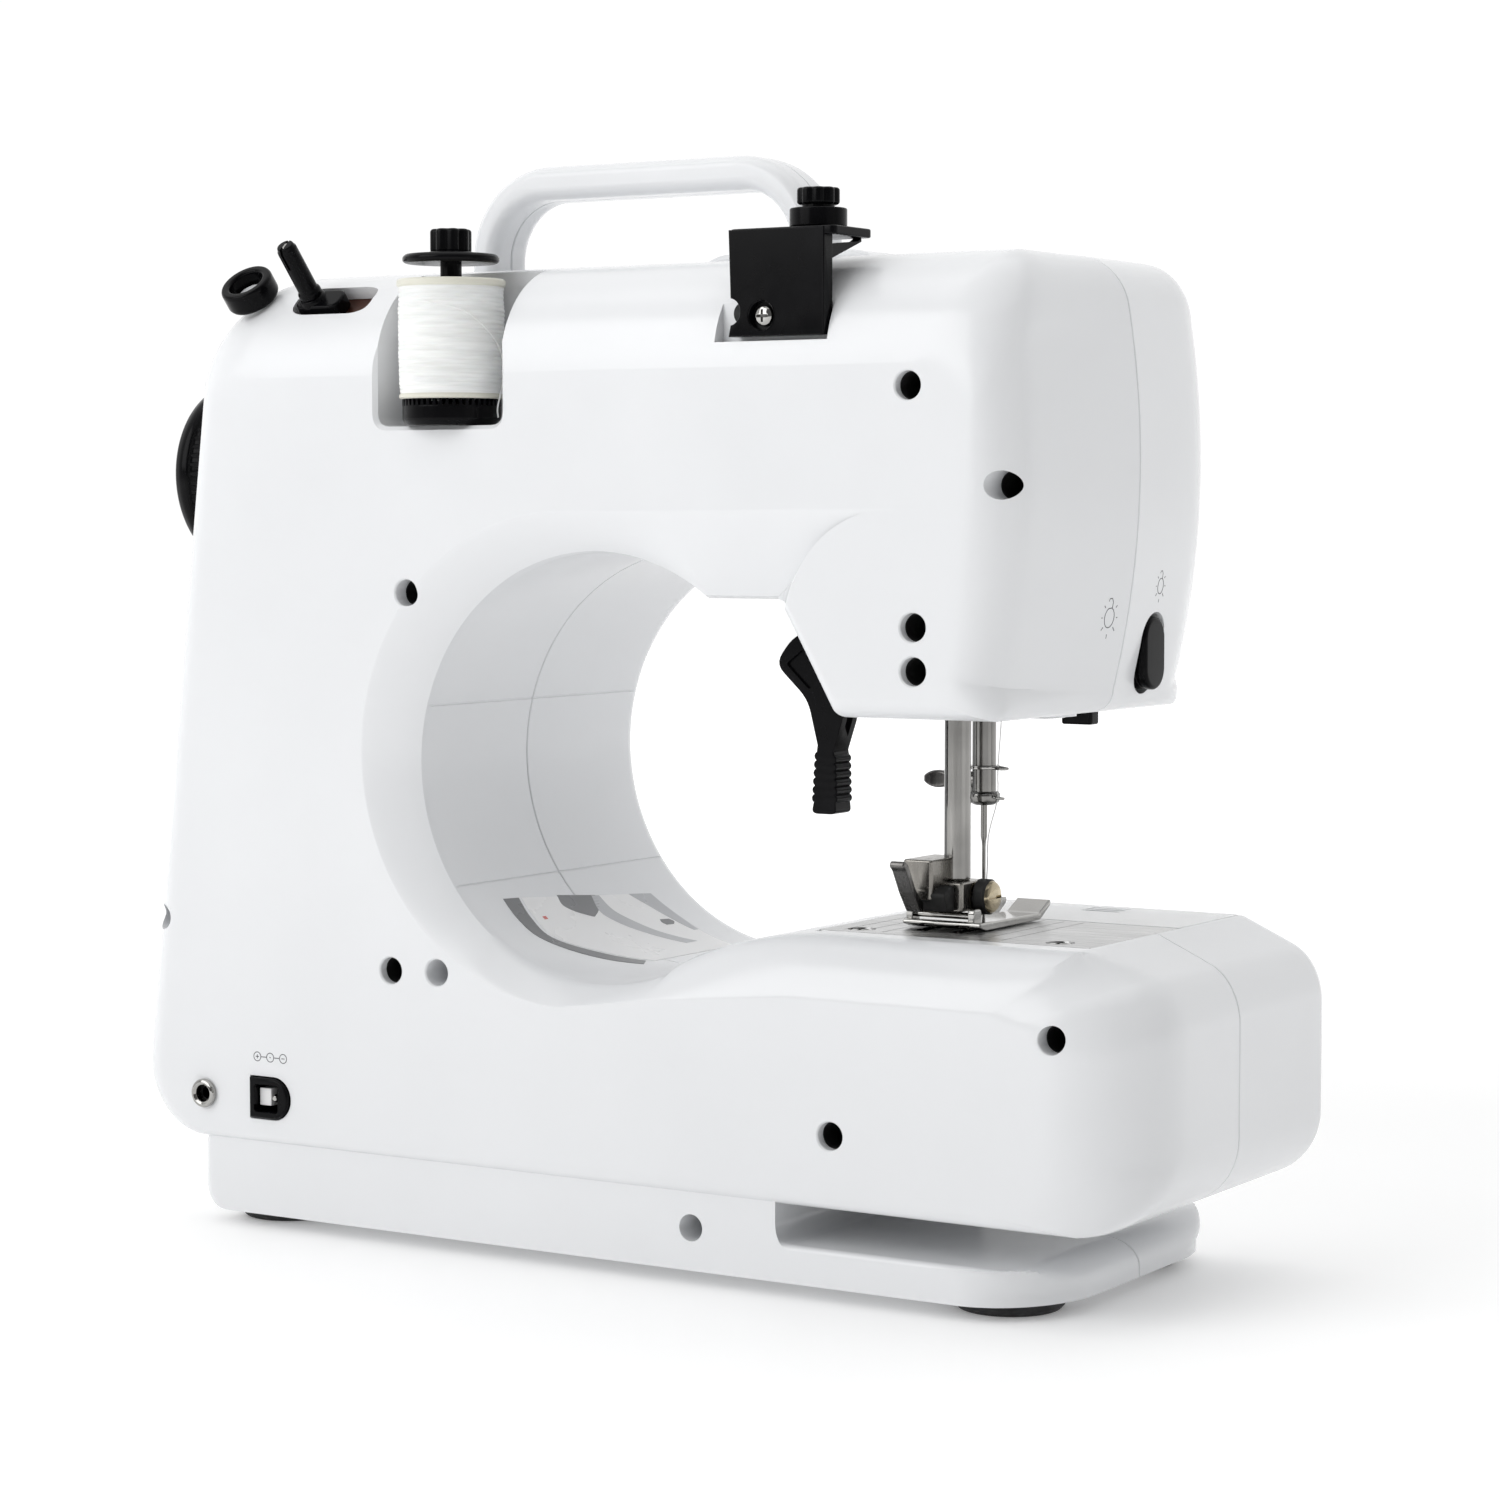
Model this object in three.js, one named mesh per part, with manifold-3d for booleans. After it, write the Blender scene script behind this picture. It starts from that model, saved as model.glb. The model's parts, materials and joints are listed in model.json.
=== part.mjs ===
// Portable free-arm sewing machine with a moulded two-part body, in millimetres, +Z up.
// +X is the handwheel end, -X the needle end, +Y the back with the spool, -Y the user's side.
// The origin lies on the table under the middle of the machine.
import * as THREE from "three";
import { mergeVertices } from "three/addons/utils/BufferGeometryUtils.js";
import Module from "manifold-3d";

const wasm = await Module();
wasm.setup();

// Driving dimensions of the body.
const GAP = 0.3; // clearance between touching pieces
const WALL = 2.4; // moulded wall
const SEAM = 5; // parting plane between the two covers
const BACK = 54; // outer face of the rear cover
const FRONT = -45; // outer face of the front cover
const TOP = 231.5; // top of the arm
const ARM_TOP = 81; // sewing surface of the free arm
const ARM_BOTTOM = 21;
const ARM_END = -143;
const BASE_BOTTOM = 3.5;
const FOOT_PLATE_TOP = 12; // top of the base under the free arm
const HEAD_BOTTOM = 129.8;
const CEILING = 155.3; // underside of the arm beside the throat
const THROAT = { x: -1, z: 115.6, r: 49.7 }; // round work opening
const THROAT_RIM = { x: 5.3, z: 117.8, r: 56.8 }; // outer edge of its rear bevel
const RIM_TOP = THROAT_RIM.z + THROAT_RIM.r;
const RIM_BOTTOM = THROAT_RIM.z - THROAT_RIM.r;

// Driving dimensions of the mechanism.
const SHAFT = { y: SEAM, z: 184, r: 3.5 }; // main shaft, along X
const HOOK_SHAFT = { y: -21, z: 46, r: 3 }; // lower shaft, along X
const MOTOR = { y: 30, z: 60, r: 15 };
const BELT_X = 103; // plane of the motor belt
const TIMING_X = 78; // plane of the timing belt
const CRANK = { x: -73, throw: 13.5 }; // the throw is half of the needle stroke
const NEEDLE = { x: -79, y: SEAM, tip: 82, r: 2.75 };
const ROD_LENGTH = 32; // connecting rod, pin to pin
const PRESSER = { x: -79, y: 17.5, r: 3 };
const LIFTER = { x: -66, y: 27.5, z: 150, width: 7 }; // pivot of the presser lifter
const BOBBIN = { x: -80, y: -21 };
const SPOOL = { x: 39.2, y: 48, low: 200.8, high: 228.6, r: 12.6, pin: 2.5 };
const GUIDE = { x: -58.8, y: 45 }; // pretension post on the thread guide
const WINDER = { x: 82, y: 45.7, z: 225.4, tilt: -41 }; // both winder pieces lean to the back
const STOP_RING = { x: 100, y: 49.4, z: 230, r: 6.6, height: 5.7 };
const TAKE_UP = { x: -72, y: -22, z: 178, thick: 2 };
const TENSION = { x: -48, z: 196, r: 11 };
const STITCH = { x: 84, z: 140, r: 20 };
const DIAL_OUT = -60.8; // front of the two dials
const FEET = { x: 101, back: 33, front: -24, r: 12.5, height: 3.2 };
const GEAR_R = 9.5; // timing pulleys
const WHEEL_BELT_R = 20;
const MOTOR_BELT_R = 6;
const BELT_WIDTH = 5;
const CLAMP_Z = 113.5; // axis of the needle clamp screw
const PLATE = { x0: -122, x1: -54, front: -41, split: -8, back: 37, thick: 2.2 };

// ---------- solids ----------

function signedVolume(position, index) {
  let total = 0;
  const corner = [0, 1, 2].map(() => new THREE.Vector3());
  for (let i = 0; i < index.length; i += 3) {
    corner.forEach((v, k) => v.fromBufferAttribute(position, index[i + k]));
    total += corner[0].dot(corner[1].clone().cross(corner[2]));
  }
  return total / 6;
}

// A closed geometry as a manifold-3d solid, turned the right way out.
function solidOf(geometry) {
  const plain = new THREE.BufferGeometry();
  const source = geometry.index ? geometry.toNonIndexed() : geometry;
  plain.setAttribute("position", source.getAttribute("position").clone());
  const merged = mergeVertices(plain, 1e-4);
  const triVerts = new Uint32Array(merged.index.array);
  if (signedVolume(merged.attributes.position, triVerts) < 0) {
    for (let i = 0; i < triVerts.length; i += 3) {
      [triVerts[i + 1], triVerts[i + 2]] = [triVerts[i + 2], triVerts[i + 1]];
    }
  }
  const vertProperties = merged.attributes.position.array;
  return new wasm.Manifold(new wasm.Mesh({ numProp: 3, vertProperties, triVerts }));
}

function geometryOf(solid) {
  const mesh = solid.getMesh();
  const geometry = new THREE.BufferGeometry();
  geometry.setAttribute("position", new THREE.BufferAttribute(mesh.vertProperties, 3));
  geometry.setIndex(new THREE.BufferAttribute(mesh.triVerts, 1));
  geometry.computeVertexNormals();
  return geometry;
}

const joined = (...solids) => solids.reduce((sum, solid) => sum.add(solid));
const cut = (body, ...tools) => tools.reduce((rest, tool) => rest.subtract(tool), body);

// Where the plane coordinates (u, v) and the height w of a prism go, by the axis it runs along.
const PLACE = {
  x: (u, v, w) => [w, u, v],
  y: (u, v, w) => [u, w, v],
  z: (u, v, w) => [u, v, w],
};

function prism(points, along, from, to) {
  const shape = new THREE.Shape(points.map(([u, v]) => new THREE.Vector2(u, v)));
  const options = { depth: Math.abs(to - from), bevelEnabled: false, steps: 1 };
  const geometry = new THREE.ExtrudeGeometry(shape, options);
  const position = geometry.getAttribute("position");
  const low = Math.min(from, to);
  for (let i = 0; i < position.count; i++) {
    const w = position.getZ(i) + low;
    position.setXYZ(i, ...PLACE[along](position.getX(i), position.getY(i), w));
  }
  return solidOf(geometry);
}

function circle(u, v, radius, sides = 16, turn = 0) {
  return Array.from({ length: sides }, (_, i) => {
    const angle = turn + (2 * Math.PI * i) / sides;
    return [u + radius * Math.cos(angle), v + radius * Math.sin(angle)];
  });
}

const rod = (along, u, v, radius, from, to, sides = 16) =>
  prism(circle(u, v, radius, sides), along, from, to);
const ring = (along, u, v, outer, inner, from, to, sides = 20) =>
  cut(rod(along, u, v, outer, from, to, sides), rod(along, u, v, inner, from - 1, to + 1, sides));

function block(x0, x1, y0, y1, z0, z1) {
  const geometry = new THREE.BoxGeometry(x1 - x0, y1 - y0, z1 - z0);
  geometry.translate((x0 + x1) / 2, (y0 + y1) / 2, (z0 + z1) / 2);
  return solidOf(geometry);
}

// A solid of revolution: profile pairs are [radius, height], starting and ending on the axis.
function turned(profile, along, u, v, sides = 24) {
  const points = profile.map(([r, h]) => new THREE.Vector2(r, h));
  const geometry = new THREE.LatheGeometry(points, sides);
  const position = geometry.getAttribute("position");
  for (let i = 0; i < position.count; i++) {
    const du = u + position.getX(i);
    const dv = v + position.getZ(i);
    position.setXYZ(i, ...PLACE[along](du, dv, position.getY(i)));
  }
  return solidOf(geometry);
}

// A toothed disc: its edge alternates between two radii.
function fluted(along, u, v, outer, inner, flutes, from, to) {
  const points = Array.from({ length: 4 * flutes }, (_, i) => {
    const angle = (Math.PI * (i + 0.5)) / (2 * flutes);
    const radius = i % 4 < 2 ? outer : inner;
    return [u + radius * Math.cos(angle), v + radius * Math.sin(angle)];
  });
  return prism(points, along, from, to);
}

// ---------- outlines ----------

const line = (x0, z0, x1, z1) => (t) => [x0 + (x1 - x0) * t, z0 + (z1 - z0) * t];

function arc(x, z, rx, rz, from, to) {
  return (t) => {
    const angle = THREE.MathUtils.degToRad(from + (to - from) * t);
    return [x + rx * Math.cos(angle), z + rz * Math.sin(angle)];
  };
}

// A shallow bow from one point to another that bulges to its left by the given rise.
function bow(x0, z0, x1, z1, rise) {
  const length = Math.hypot(x1 - x0, z1 - z0);
  const out = [-(z1 - z0) / length, (x1 - x0) / length];
  return (t) => {
    const bulge = 4 * rise * t * (1 - t);
    return [x0 + (x1 - x0) * t + out[0] * bulge, z0 + (z1 - z0) * t + out[1] * bulge];
  };
}

// How the outline passes from its shape at the seam to its shape at the face.
// depth: length of the rounding next to the face; power: 1 a bevel, 2 a round;
// taper: share of the change that is spread over the whole depth of the cover.
const ease = (depth, power = 2, taper = 0) => ({ depth, power, taper });
const HEM = ease(3);
const SIDE = ease(8);
const CROWN = ease(25);
const HEAD_END = ease(11, 2, 0.44);
const BEVEL = ease(7, 1.15);
const ARM_EDGE = ease(10, 1.4);
const ARM_NOSE = ease(23);

const BRIM = ease(18);
const HEAD_FRONT = ease(24);
const ARM_FRONT = ease(6);

// The body outline in the XZ plane, from the lower +X corner up, over the arm, down the head,
// through the throat, round the free arm and back along its bottom.
// Each stretch holds its curve at the seam, at the rear face and at the front face.
function bodyStretches() {
  const side = 6.6; // lean of the +X side
  const { x, z, r } = THROAT;
  const rim = THROAT_RIM;
  return [
    {
      seam: arc(112, 40, 20.5, 18.7, -90, 0),
      rear: arc(112, 40, 12.5, 17.2, -90, 0),
      front: arc(112, 40, 12.5, 15, -90, 0),
      steps: 5, inner: 3, rearEase: [HEM, SIDE], frontEase: [HEM, SIDE],
    },
    {
      seam: line(132.5, 40, 113, 207.6),
      rear: line(124.5, 40, 106.1, 197.6),
      front: line(124.5, 40, 105.5, 202.9),
      steps: 1, inner: 1, rearEase: [SIDE, SIDE], frontEase: [SIDE, SIDE],
    },
    {
      seam: arc(86.2, 204.5, 27, 27, side, 90),
      rear: arc(96.2, 196.5, 10, 10, side, 90),
      front: arc(93.6, 201.5, 12, 12, side, 90),
      steps: 5, inner: 3, rearEase: [SIDE, CROWN], frontEase: [SIDE, BRIM],
    },
    {
      seam: line(86.2, TOP, -101, TOP),
      rear: line(96.2, TOP - 25, -88, TOP - 25),
      front: line(93.6, TOP - 18, -88, TOP - 18),
      steps: 1, inner: 1, rearEase: [CROWN, CROWN], frontEase: [BRIM, BRIM],
    },
    {
      seam: arc(-101, TOP - 14, 14, 14, 90, 172),
      rear: arc(-88, TOP - 38, 13, 13, 90, 180),
      front: arc(-84, TOP - 28, 10, 10, 90, 180),
      steps: 5, inner: 2, rearEase: [CROWN, HEAD_END], frontEase: [BRIM, HEAD_FRONT],
    },
    {
      seam: bow(-114.87, 219.45, -111.5, 135, -4.5),
      rear: bow(-101, 193.5, -96, 140, -0.8),
      front: bow(-94, 203.5, -89, 145, -1.5),
      steps: 5, inner: 3, rearEase: [HEAD_END, HEAD_END], frontEase: [HEAD_FRONT, HEAD_FRONT],
    },
    {
      seam: arc(-105.5, 135, 6, 5.2, 180, 270),
      rear: arc(-92, 140, 4, 6, 180, 270),
      front: arc(-84, 145, 5, 6, 180, 270),
      steps: 3, inner: 1, rearEase: [HEAD_END, ease(6)], frontEase: [HEAD_FRONT, ease(8)],
    },
    {
      seam: line(-105.5, HEAD_BOTTOM, -69.5, HEAD_BOTTOM),
      rear: line(-92, 134, -69.8, 134),
      front: line(-84, 139, -70.5, 139),
      steps: 1, inner: 1, rearEase: [ease(6), ease(4)], frontEase: [ease(8), ease(4)],
    },
    {
      seam: arc(-69.5, HEAD_BOTTOM + 3, 3, 3, 270, 329.3),
      rear: arc(-69.8, 136, 2, 2, 270, 329.3),
      front: arc(-70.5, 141, 2, 2, 270, 329.3),
      steps: 2, inner: 1, rearEase: [ease(4), HEM], frontEase: [ease(4), HEM],
    },
    {
      seam: line(-66.92, 131.27, -54.36, 152.36),
      rear: line(-68.08, 134.98, -56.3, 154.8),
      front: line(-68.78, 139.98, -58.6, 157.1),
      steps: 1, inner: 1, rearEase: [HEM, ease(5)], frontEase: [HEM, HEM],
    },
    {
      seam: arc(-49.2, CEILING - 6, 6, 6, 149.3, 90),
      rear: bow(-56.3, 154.8, -76, RIM_TOP, -4),
      front: arc(-50, 152.5, 9.8, 9.8, 152, 90),
      steps: 4, inner: 2, rearEase: [ease(5), BEVEL], frontEase: [HEM, ARM_FRONT],
    },
    {
      seam: line(-49.2, CEILING, -31, CEILING),
      rear: line(-76, RIM_TOP, -27, RIM_TOP),
      front: line(-50, 162.3, -31, 162.3),
      steps: 1, inner: 1, rearEase: [BEVEL, BEVEL], frontEase: [ARM_FRONT, ARM_FRONT],
    },
    {
      seam: arc(x, z, r, r, 127, 90),
      rear: line(-27, RIM_TOP, rim.x, RIM_TOP),
      front: arc(x, z, r + 7, r + 7, 124.2, 90),
      steps: 4, inner: 3, rearEase: [BEVEL, BEVEL], frontEase: [ARM_FRONT, ARM_FRONT],
    },
    {
      seam: arc(x, z, r, r, 90, -90),
      rear: arc(rim.x, rim.z, rim.r, rim.r, 90, -90),
      front: arc(x, z, r + 7, r + 7, 90, -90),
      steps: 16, inner: 12, rearEase: [BEVEL, BEVEL], frontEase: [ARM_FRONT, ARM_FRONT],
    },
    {
      seam: arc(x, z, r, r, -90, -116.5),
      rear: line(rim.x, RIM_BOTTOM, -20, 64.5),
      front: arc(x, z, r + 7, r + 7, -90, -113),
      steps: 3, inner: 2, rearEase: [BEVEL, BEVEL], frontEase: [ARM_FRONT, ARM_FRONT],
    },
    {
      seam: arc(-61.2, ARM_TOP - 86, 86, 86, 63.5, 90),
      rear: line(-20, 64.5, -56, 67.5),
      front: arc(-61.2, -12, 87, 87, 64, 90),
      steps: 4, inner: 2, rearEase: [BEVEL, ARM_EDGE], frontEase: [ARM_FRONT, ARM_FRONT],
    },
    {
      seam: line(-61.2, ARM_TOP, -123, ARM_TOP),
      rear: line(-56, 67.5, -106, 67.5),
      front: line(-61.2, 75, -123, 75),
      steps: 1, inner: 1, rearEase: [ARM_EDGE, ARM_EDGE], frontEase: [ARM_FRONT, ARM_FRONT],
    },
    {
      seam: line(-123, ARM_TOP, -135.3, 75.4),
      rear: line(-106, 67.5, -110, 65.5),
      front: line(-123, 75, -131, 72),
      steps: 1, inner: 1, rearEase: [ARM_EDGE, ARM_NOSE], frontEase: [ARM_FRONT, ARM_FRONT],
    },
    {
      seam: arc(-132, 62, 11, 14, 107, 180),
      rear: arc(-110, 55, 9.5, 10.5, 90, 180),
      front: arc(-129, 62, 8, 10.2, 104, 180),
      steps: 4, inner: 2, rearEase: [ARM_NOSE, ARM_NOSE], frontEase: [ARM_FRONT, ARM_FRONT],
    },
    {
      seam: line(ARM_END, 62, ARM_END, 37),
      rear: line(-119.5, 55, -119.5, 36),
      front: line(-137, 62, -137, 37),
      steps: 1, inner: 1, rearEase: [ARM_NOSE, ARM_NOSE], frontEase: [ARM_FRONT, ARM_FRONT],
    },
    {
      seam: arc(-127, 37, 16, 16, 180, 270),
      rear: arc(-108, 36, 11.5, 12, 180, 270),
      front: arc(-127, 37, 10, 10, 180, 270),
      steps: 5, inner: 3, rearEase: [ARM_NOSE, HEM], frontEase: [ARM_FRONT, ARM_FRONT],
    },
    {
      seam: line(-127, ARM_BOTTOM, 112, 21.3),
      rear: line(-108, 24, 112, 22.8),
      front: line(-127, 27, 112, 25),
      steps: 1, inner: 1, rearEase: [HEM, HEM], frontEase: [ARM_FRONT, HEM],
    },
  ];
}

// The base under the column, with the thin plate that reaches under the free arm.
function baseStretches() {
  const hidden = ARM_BOTTOM + 4; // inside the body above
  const low = BASE_BOTTOM;
  const plate = FOOT_PLATE_TOP;
  const tip = ease(26);
  const edge = ease(1.5);
  const rows = [
    [line(-119, low, -119, 6), line(-98, low, -98, 6), 1, tip, tip],
    [arc(-110, 6, 9, 6, 180, 90), arc(-91, 6, 7, 5, 180, 90), 4, tip, edge],
    [line(-110, plate, -55.5, plate), line(-91, 11, -56, 11), 1, edge, edge],
    [arc(-55.5, 16.5, 4.5, 4.5, -90, 0), arc(-56, 16.5, 3.5, 5.5, -90, 0), 3, edge, edge],
    [line(-51, 16.5, -51, hidden), line(-52.5, 16.5, -52.5, hidden), 1, edge, edge],
    [line(-51, hidden, 111, hidden), line(-52.5, hidden, 108, hidden), 1, edge, edge],
    [line(111, hidden, 114, 20), line(108, hidden, 110, 20), 1, edge, ease(5)],
    [line(114, 20, 114, 10), line(110, 20, 110, 10), 1, ease(5), ease(5)],
    [arc(107.5, 10, 6.5, 6.5, 0, -90), arc(105, 10, 5, 6.5, 0, -90), 3, ease(5), edge],
    [line(107.5, low, -119, low), line(105, low, -98, low), 1, edge, edge],
  ];
  return rows.map(([seam, face, steps, first, last]) => ({
    seam, rear: face, front: face, steps, inner: 1,
    rearEase: [first, last], frontEase: [first, last],
  }));
}

// Points of a closed outline: position at the seam, position at the face, and easing between.
function outlinePoints(stretches, face, count) {
  return stretches.flatMap((stretch) =>
    Array.from({ length: stretch[count] }, (_, i) => {
      const t = i / stretch[count];
      const [first, last] = stretch[face + "Ease"];
      const mix = (key) => first[key] + (last[key] - first[key]) * t;
      return {
        seam: stretch.seam(t), face: stretch[face](t),
        depth: mix("depth"), power: mix("power"), taper: mix("taper"),
      };
    }),
  );
}

function polygonArea(points) {
  const doubled = points.reduce((sum, [x, z], i) => {
    const [nextX, nextZ] = points[(i + 1) % points.length];
    return sum + x * nextZ - nextX * z;
  }, 0);
  return doubled / 2;
}

// The outline moved inwards by a wall thickness, with mitred corners.
function inset(points, distance) {
  const turn = Math.sign(polygonArea(points)) * distance;
  const unit = ([x0, z0], [x1, z1]) => {
    const length = Math.hypot(x1 - x0, z1 - z0);
    return [-(z1 - z0) / length, (x1 - x0) / length];
  };
  return points.map((point, i) => {
    const before = unit(points[(i + points.length - 1) % points.length], point);
    const after = unit(point, points[(i + 1) % points.length]);
    const spread = Math.max(1 + before[0] * after[0] + before[1] * after[1], 0.35);
    return [0, 1].map((k) => point[k] + ((before[k] + after[k]) / spread) * turn);
  });
}

// A solid whose outline changes from its seam shape to its face shape.
function loft(outline, seamY, faceY, levels) {
  const depth = Math.abs(faceY - seamY);
  const rows = levels.map((level) => {
    const toFace = depth * (1 - level);
    const y = seamY + (faceY - seamY) * level;
    return outline.map((point) => {
      const u = Math.max(0, 1 - toFace / point.depth);
      const round = 1 - Math.pow(1 - Math.pow(u, point.power), 1 / point.power);
      const share = point.taper * level + (1 - point.taper) * round;
      const [x, z] = [0, 1].map((k) => point.seam[k] + (point.face[k] - point.seam[k]) * share);
      return [x, y, z];
    });
  });
  const count = outline.length;
  const index = [];
  for (let row = 0; row + 1 < rows.length; row++) {
    for (let i = 0; i < count; i++) {
      const next = (i + 1) % count;
      const [a, b] = [row * count + i, row * count + next];
      index.push(a, b, b + count, a, b + count, a + count);
    }
  }
  // The lids run against the side walls along the edges they share.
  const lid = (row, forward) => {
    const flat = rows[row].map(([x, , z]) => [x, z]);
    const wanted = Math.sign(polygonArea(flat)) * (forward ? 1 : -1);
    const contour = flat.map(([x, z]) => new THREE.Vector2(x, z));
    for (const corners of THREE.ShapeUtils.triangulateShape(contour, [])) {
      const area = polygonArea(corners.map((i) => flat[i]));
      const ordered = Math.sign(area) === wanted ? corners : corners.slice().reverse();
      index.push(...ordered.map((i) => row * count + i));
    }
  };
  lid(0, false);
  lid(rows.length - 1, true);
  const geometry = new THREE.BufferGeometry();
  const position = new Float32Array(rows.flat(2));
  geometry.setAttribute("position", new THREE.BufferAttribute(position, 3));
  geometry.setIndex(index);
  return solidOf(geometry);
}

const COVERS = {
  rear: { face: BACK, baseFace: BACK - 1.3, sign: 1 },
  front: { face: FRONT, baseFace: FRONT + 1.2, sign: -1 },
};
const REAR_LEVELS = [0, 0.25, 0.49, 0.62, 0.745, 0.85, 0.93, 0.98, 1];
const FRONT_LEVELS = [0, 0.52, 0.64, 0.78, 0.88, 0.95, 0.985, 1];
const INNER_LEVELS = [0, 0.5, 0.72, 0.88, 1];

// One cover as a full block: body and base together.
function coverBlock(side) {
  const { face, baseFace, sign } = COVERS[side];
  const start = SEAM + (sign * GAP) / 2;
  const levels = side === "rear" ? REAR_LEVELS : FRONT_LEVELS;
  const body = loft(outlinePoints(bodyStretches(), side, "steps"), start, face, levels);
  const baseLevels = [0, 0.5, 0.8, 0.95, 1];
  const base = loft(outlinePoints(baseStretches(), side, "steps"), start, baseFace, baseLevels);
  return body.add(base);
}

// The hollow of the base, open at the bottom where the bottom cover closes it.
function baseHollowOutline() {
  const below = BASE_BOTTOM - 1;
  const inside = ARM_BOTTOM + 5;
  const plate = FOOT_PLATE_TOP - WALL;
  const tip = ease(24);
  const edge = ease(1);
  const corners = [
    [-116, below, -95, tip],
    [-116, 6, -95, tip],
    [-110, plate, -90, tip],
    [-48.6, plate, -50, edge],
    [-48.6, inside, -50, edge],
    [107, inside, 106, edge],
    [111.6, 19, 109, edge],
    [111.6, below, 109, edge],
  ];
  return corners.map(([x, z, faceX, easing]) => ({ seam: [x, z], face: [faceX, z], ...easing }));
}

// The hollow of one cover: the same block moved inwards by the wall.
function coverHollow(side) {
  const { face, baseFace, sign } = COVERS[side];
  const shrunk = (stretches) => {
    const points = outlinePoints(stretches, side, "inner");
    const seam = inset(points.map((point) => point.seam), WALL);
    const rim = inset(points.map((point) => point.face), WALL);
    return points.map((point, i) => ({ ...point, seam: seam[i], face: rim[i] }));
  };
  const start = SEAM - sign * 1;
  const body = loft(shrunk(bodyStretches()), start, face - sign * WALL, INNER_LEVELS);
  const base = loft(baseHollowOutline(), start, baseFace - sign * WALL, [0, 0.5, 0.8, 0.93, 1]);
  return body.add(base);
}

// ---------- the two covers ----------

const SCREW_HOLE = { r: 3.1, boss: 5, floor: 4 };
const DEEP = SEAM + GAP / 2;
const BEHIND_CRANK = 24; // this boss starts behind the crank
const BEHIND_ROD = 38; // these start behind the sweep of the connecting rod
const SCREW_HOLES = [
  [-86.4, 201.7, BEHIND_CRANK], [-109, 180.3, DEEP], [48.5, 155.6, DEEP], [-87.8, 149.8, BEHIND_ROD],
  [-87.9, 140.3, BEHIND_ROD], [53.6, 66.2, DEEP], [40.1, 66.6, DEEP], [125, 74.7, DEEP],
  [-121.6, 63.1, DEEP], [-67.3, 37.7, DEEP], [-30.1, 13.3, DEEP],
];
const DC_JACK = { x: 90.5, z: 32.5, width: 12, height: 10 };
const PEDAL_JACK = { x: 111, z: 32.2, r: 3 }; // M6 neck of a 3.5 mm jack
const POCKET = { x0: 21, x1: 57, y: 35, z: 194.5 }; // spool recess in the rear cover
const GUIDE_SEAT = { x0: -66, x1: -37, y: 49.6, z: 212 }; // seat of the thread guide
const LAMP_SWITCH = { y: -9.5, z: 142.8, width: 10, height: 16.6 };
const BUTTONS = [[86, 190], [62, 190]];
const BUTTON_R = 6;

// Outline of the power inlet: flat towards +X, round towards -X.
function inletOutline(margin) {
  const { x, z, width, height } = DC_JACK;
  const half = height / 2 + margin;
  const centre = x - width / 2 + height / 2;
  const round = Array.from({ length: 9 }, (_, i) => {
    const angle = Math.PI / 2 + (Math.PI * i) / 8;
    return [centre + half * Math.cos(angle), z + half * Math.sin(angle)];
  });
  const flat = x + width / 2 + margin;
  return [...round, [flat, z - half], [flat, z + half]];
}

// A pill shape: two half circles joined by straight sides, taller than wide.
function pill(u, v, width, height) {
  const r = width / 2;
  const lift = height / 2 - r;
  return Array.from({ length: 14 }, (_, i) => {
    const top = i < 7;
    const angle = (Math.PI * (i % 7)) / 6 + (top ? 0 : Math.PI);
    return [u + r * Math.cos(angle), v + (top ? lift : -lift) + r * Math.sin(angle)];
  });
}

// Openings that both covers share, cut half into each.
function sharedCuts() {
  const plateSeat = block(
    PLATE.x0 - GAP, PLATE.x1 + GAP, FRONT - 1, PLATE.back + GAP, ARM_TOP - PLATE.thick - GAP, ARM_TOP + 5,
  );
  const plateWindow = block(PLATE.x0 + 4, PLATE.x1 - 4, -34, PLATE.back - 4, ARM_TOP - 12, ARM_TOP);
  const barWindow = block(-92, -70, -2, 25, HEAD_BOTTOM - 4, HEAD_BOTTOM + 8);
  const shaftHole = rod("x", SHAFT.y, SHAFT.z, 6, 100, 125);
  return [plateSeat, plateWindow, barWindow, shaftHole];
}

function ledge() {
  const low = ARM_TOP - PLATE.thick - GAP - WALL;
  return block(PLATE.x0 - 2, PLATE.x1 + 2, FRONT - 1, PLATE.back + 3, low, ARM_TOP - WALL + 0.2);
}

function rearCover() {
  const whole = coverBlock("rear");
  const posts = SCREW_HOLES.map(([x, z, y]) => rod("y", x, z, SCREW_HOLE.boss, y, BACK, 10));
  const { r, floor } = SCREW_HOLE;
  const holes = SCREW_HOLES.map(([x, z, y]) => rod("y", x, z, r, y + floor, BACK + 2, 12));
  const { x0, x1, y, z } = POCKET;
  const pocketWall = block(x0 - WALL, x1 + WALL, y - WALL, BACK + 1, z - WALL, TOP + 1);
  const pocket = block(x0, x1, y, BACK + 5, z, TOP + 5);
  const seat = GUIDE_SEAT;
  const seatWall = block(seat.x0 - WALL, seat.x1 + WALL, seat.y - WALL, BACK + 1, seat.z - WALL, TOP);
  const seatCut = block(seat.x0, seat.x1, seat.y, BACK + 5, seat.z, TOP + 9);
  const inside = joined(ledge(), pocketWall, seatWall, ...posts).intersect(whole);
  const shell = whole.subtract(coverHollow("rear")).add(inside);
  const lifterSlot = block(-74, -34, LIFTER.y - 4.2, LIFTER.y + 4.2, 133, 160);
  const winderSlot = tilted(block(64, 87, -5, 5, -9, 6), WINDER);
  const inlet = prism(inletOutline(GAP), "y", 44, BACK + 2);
  const pedal = rod("y", PEDAL_JACK.x, PEDAL_JACK.z, PEDAL_JACK.r + GAP, 44, BACK + 2);
  return cut(shell, pocket, seatCut, lifterSlot, winderSlot, inlet, pedal, ...holes, ...sharedCuts());
}

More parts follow.
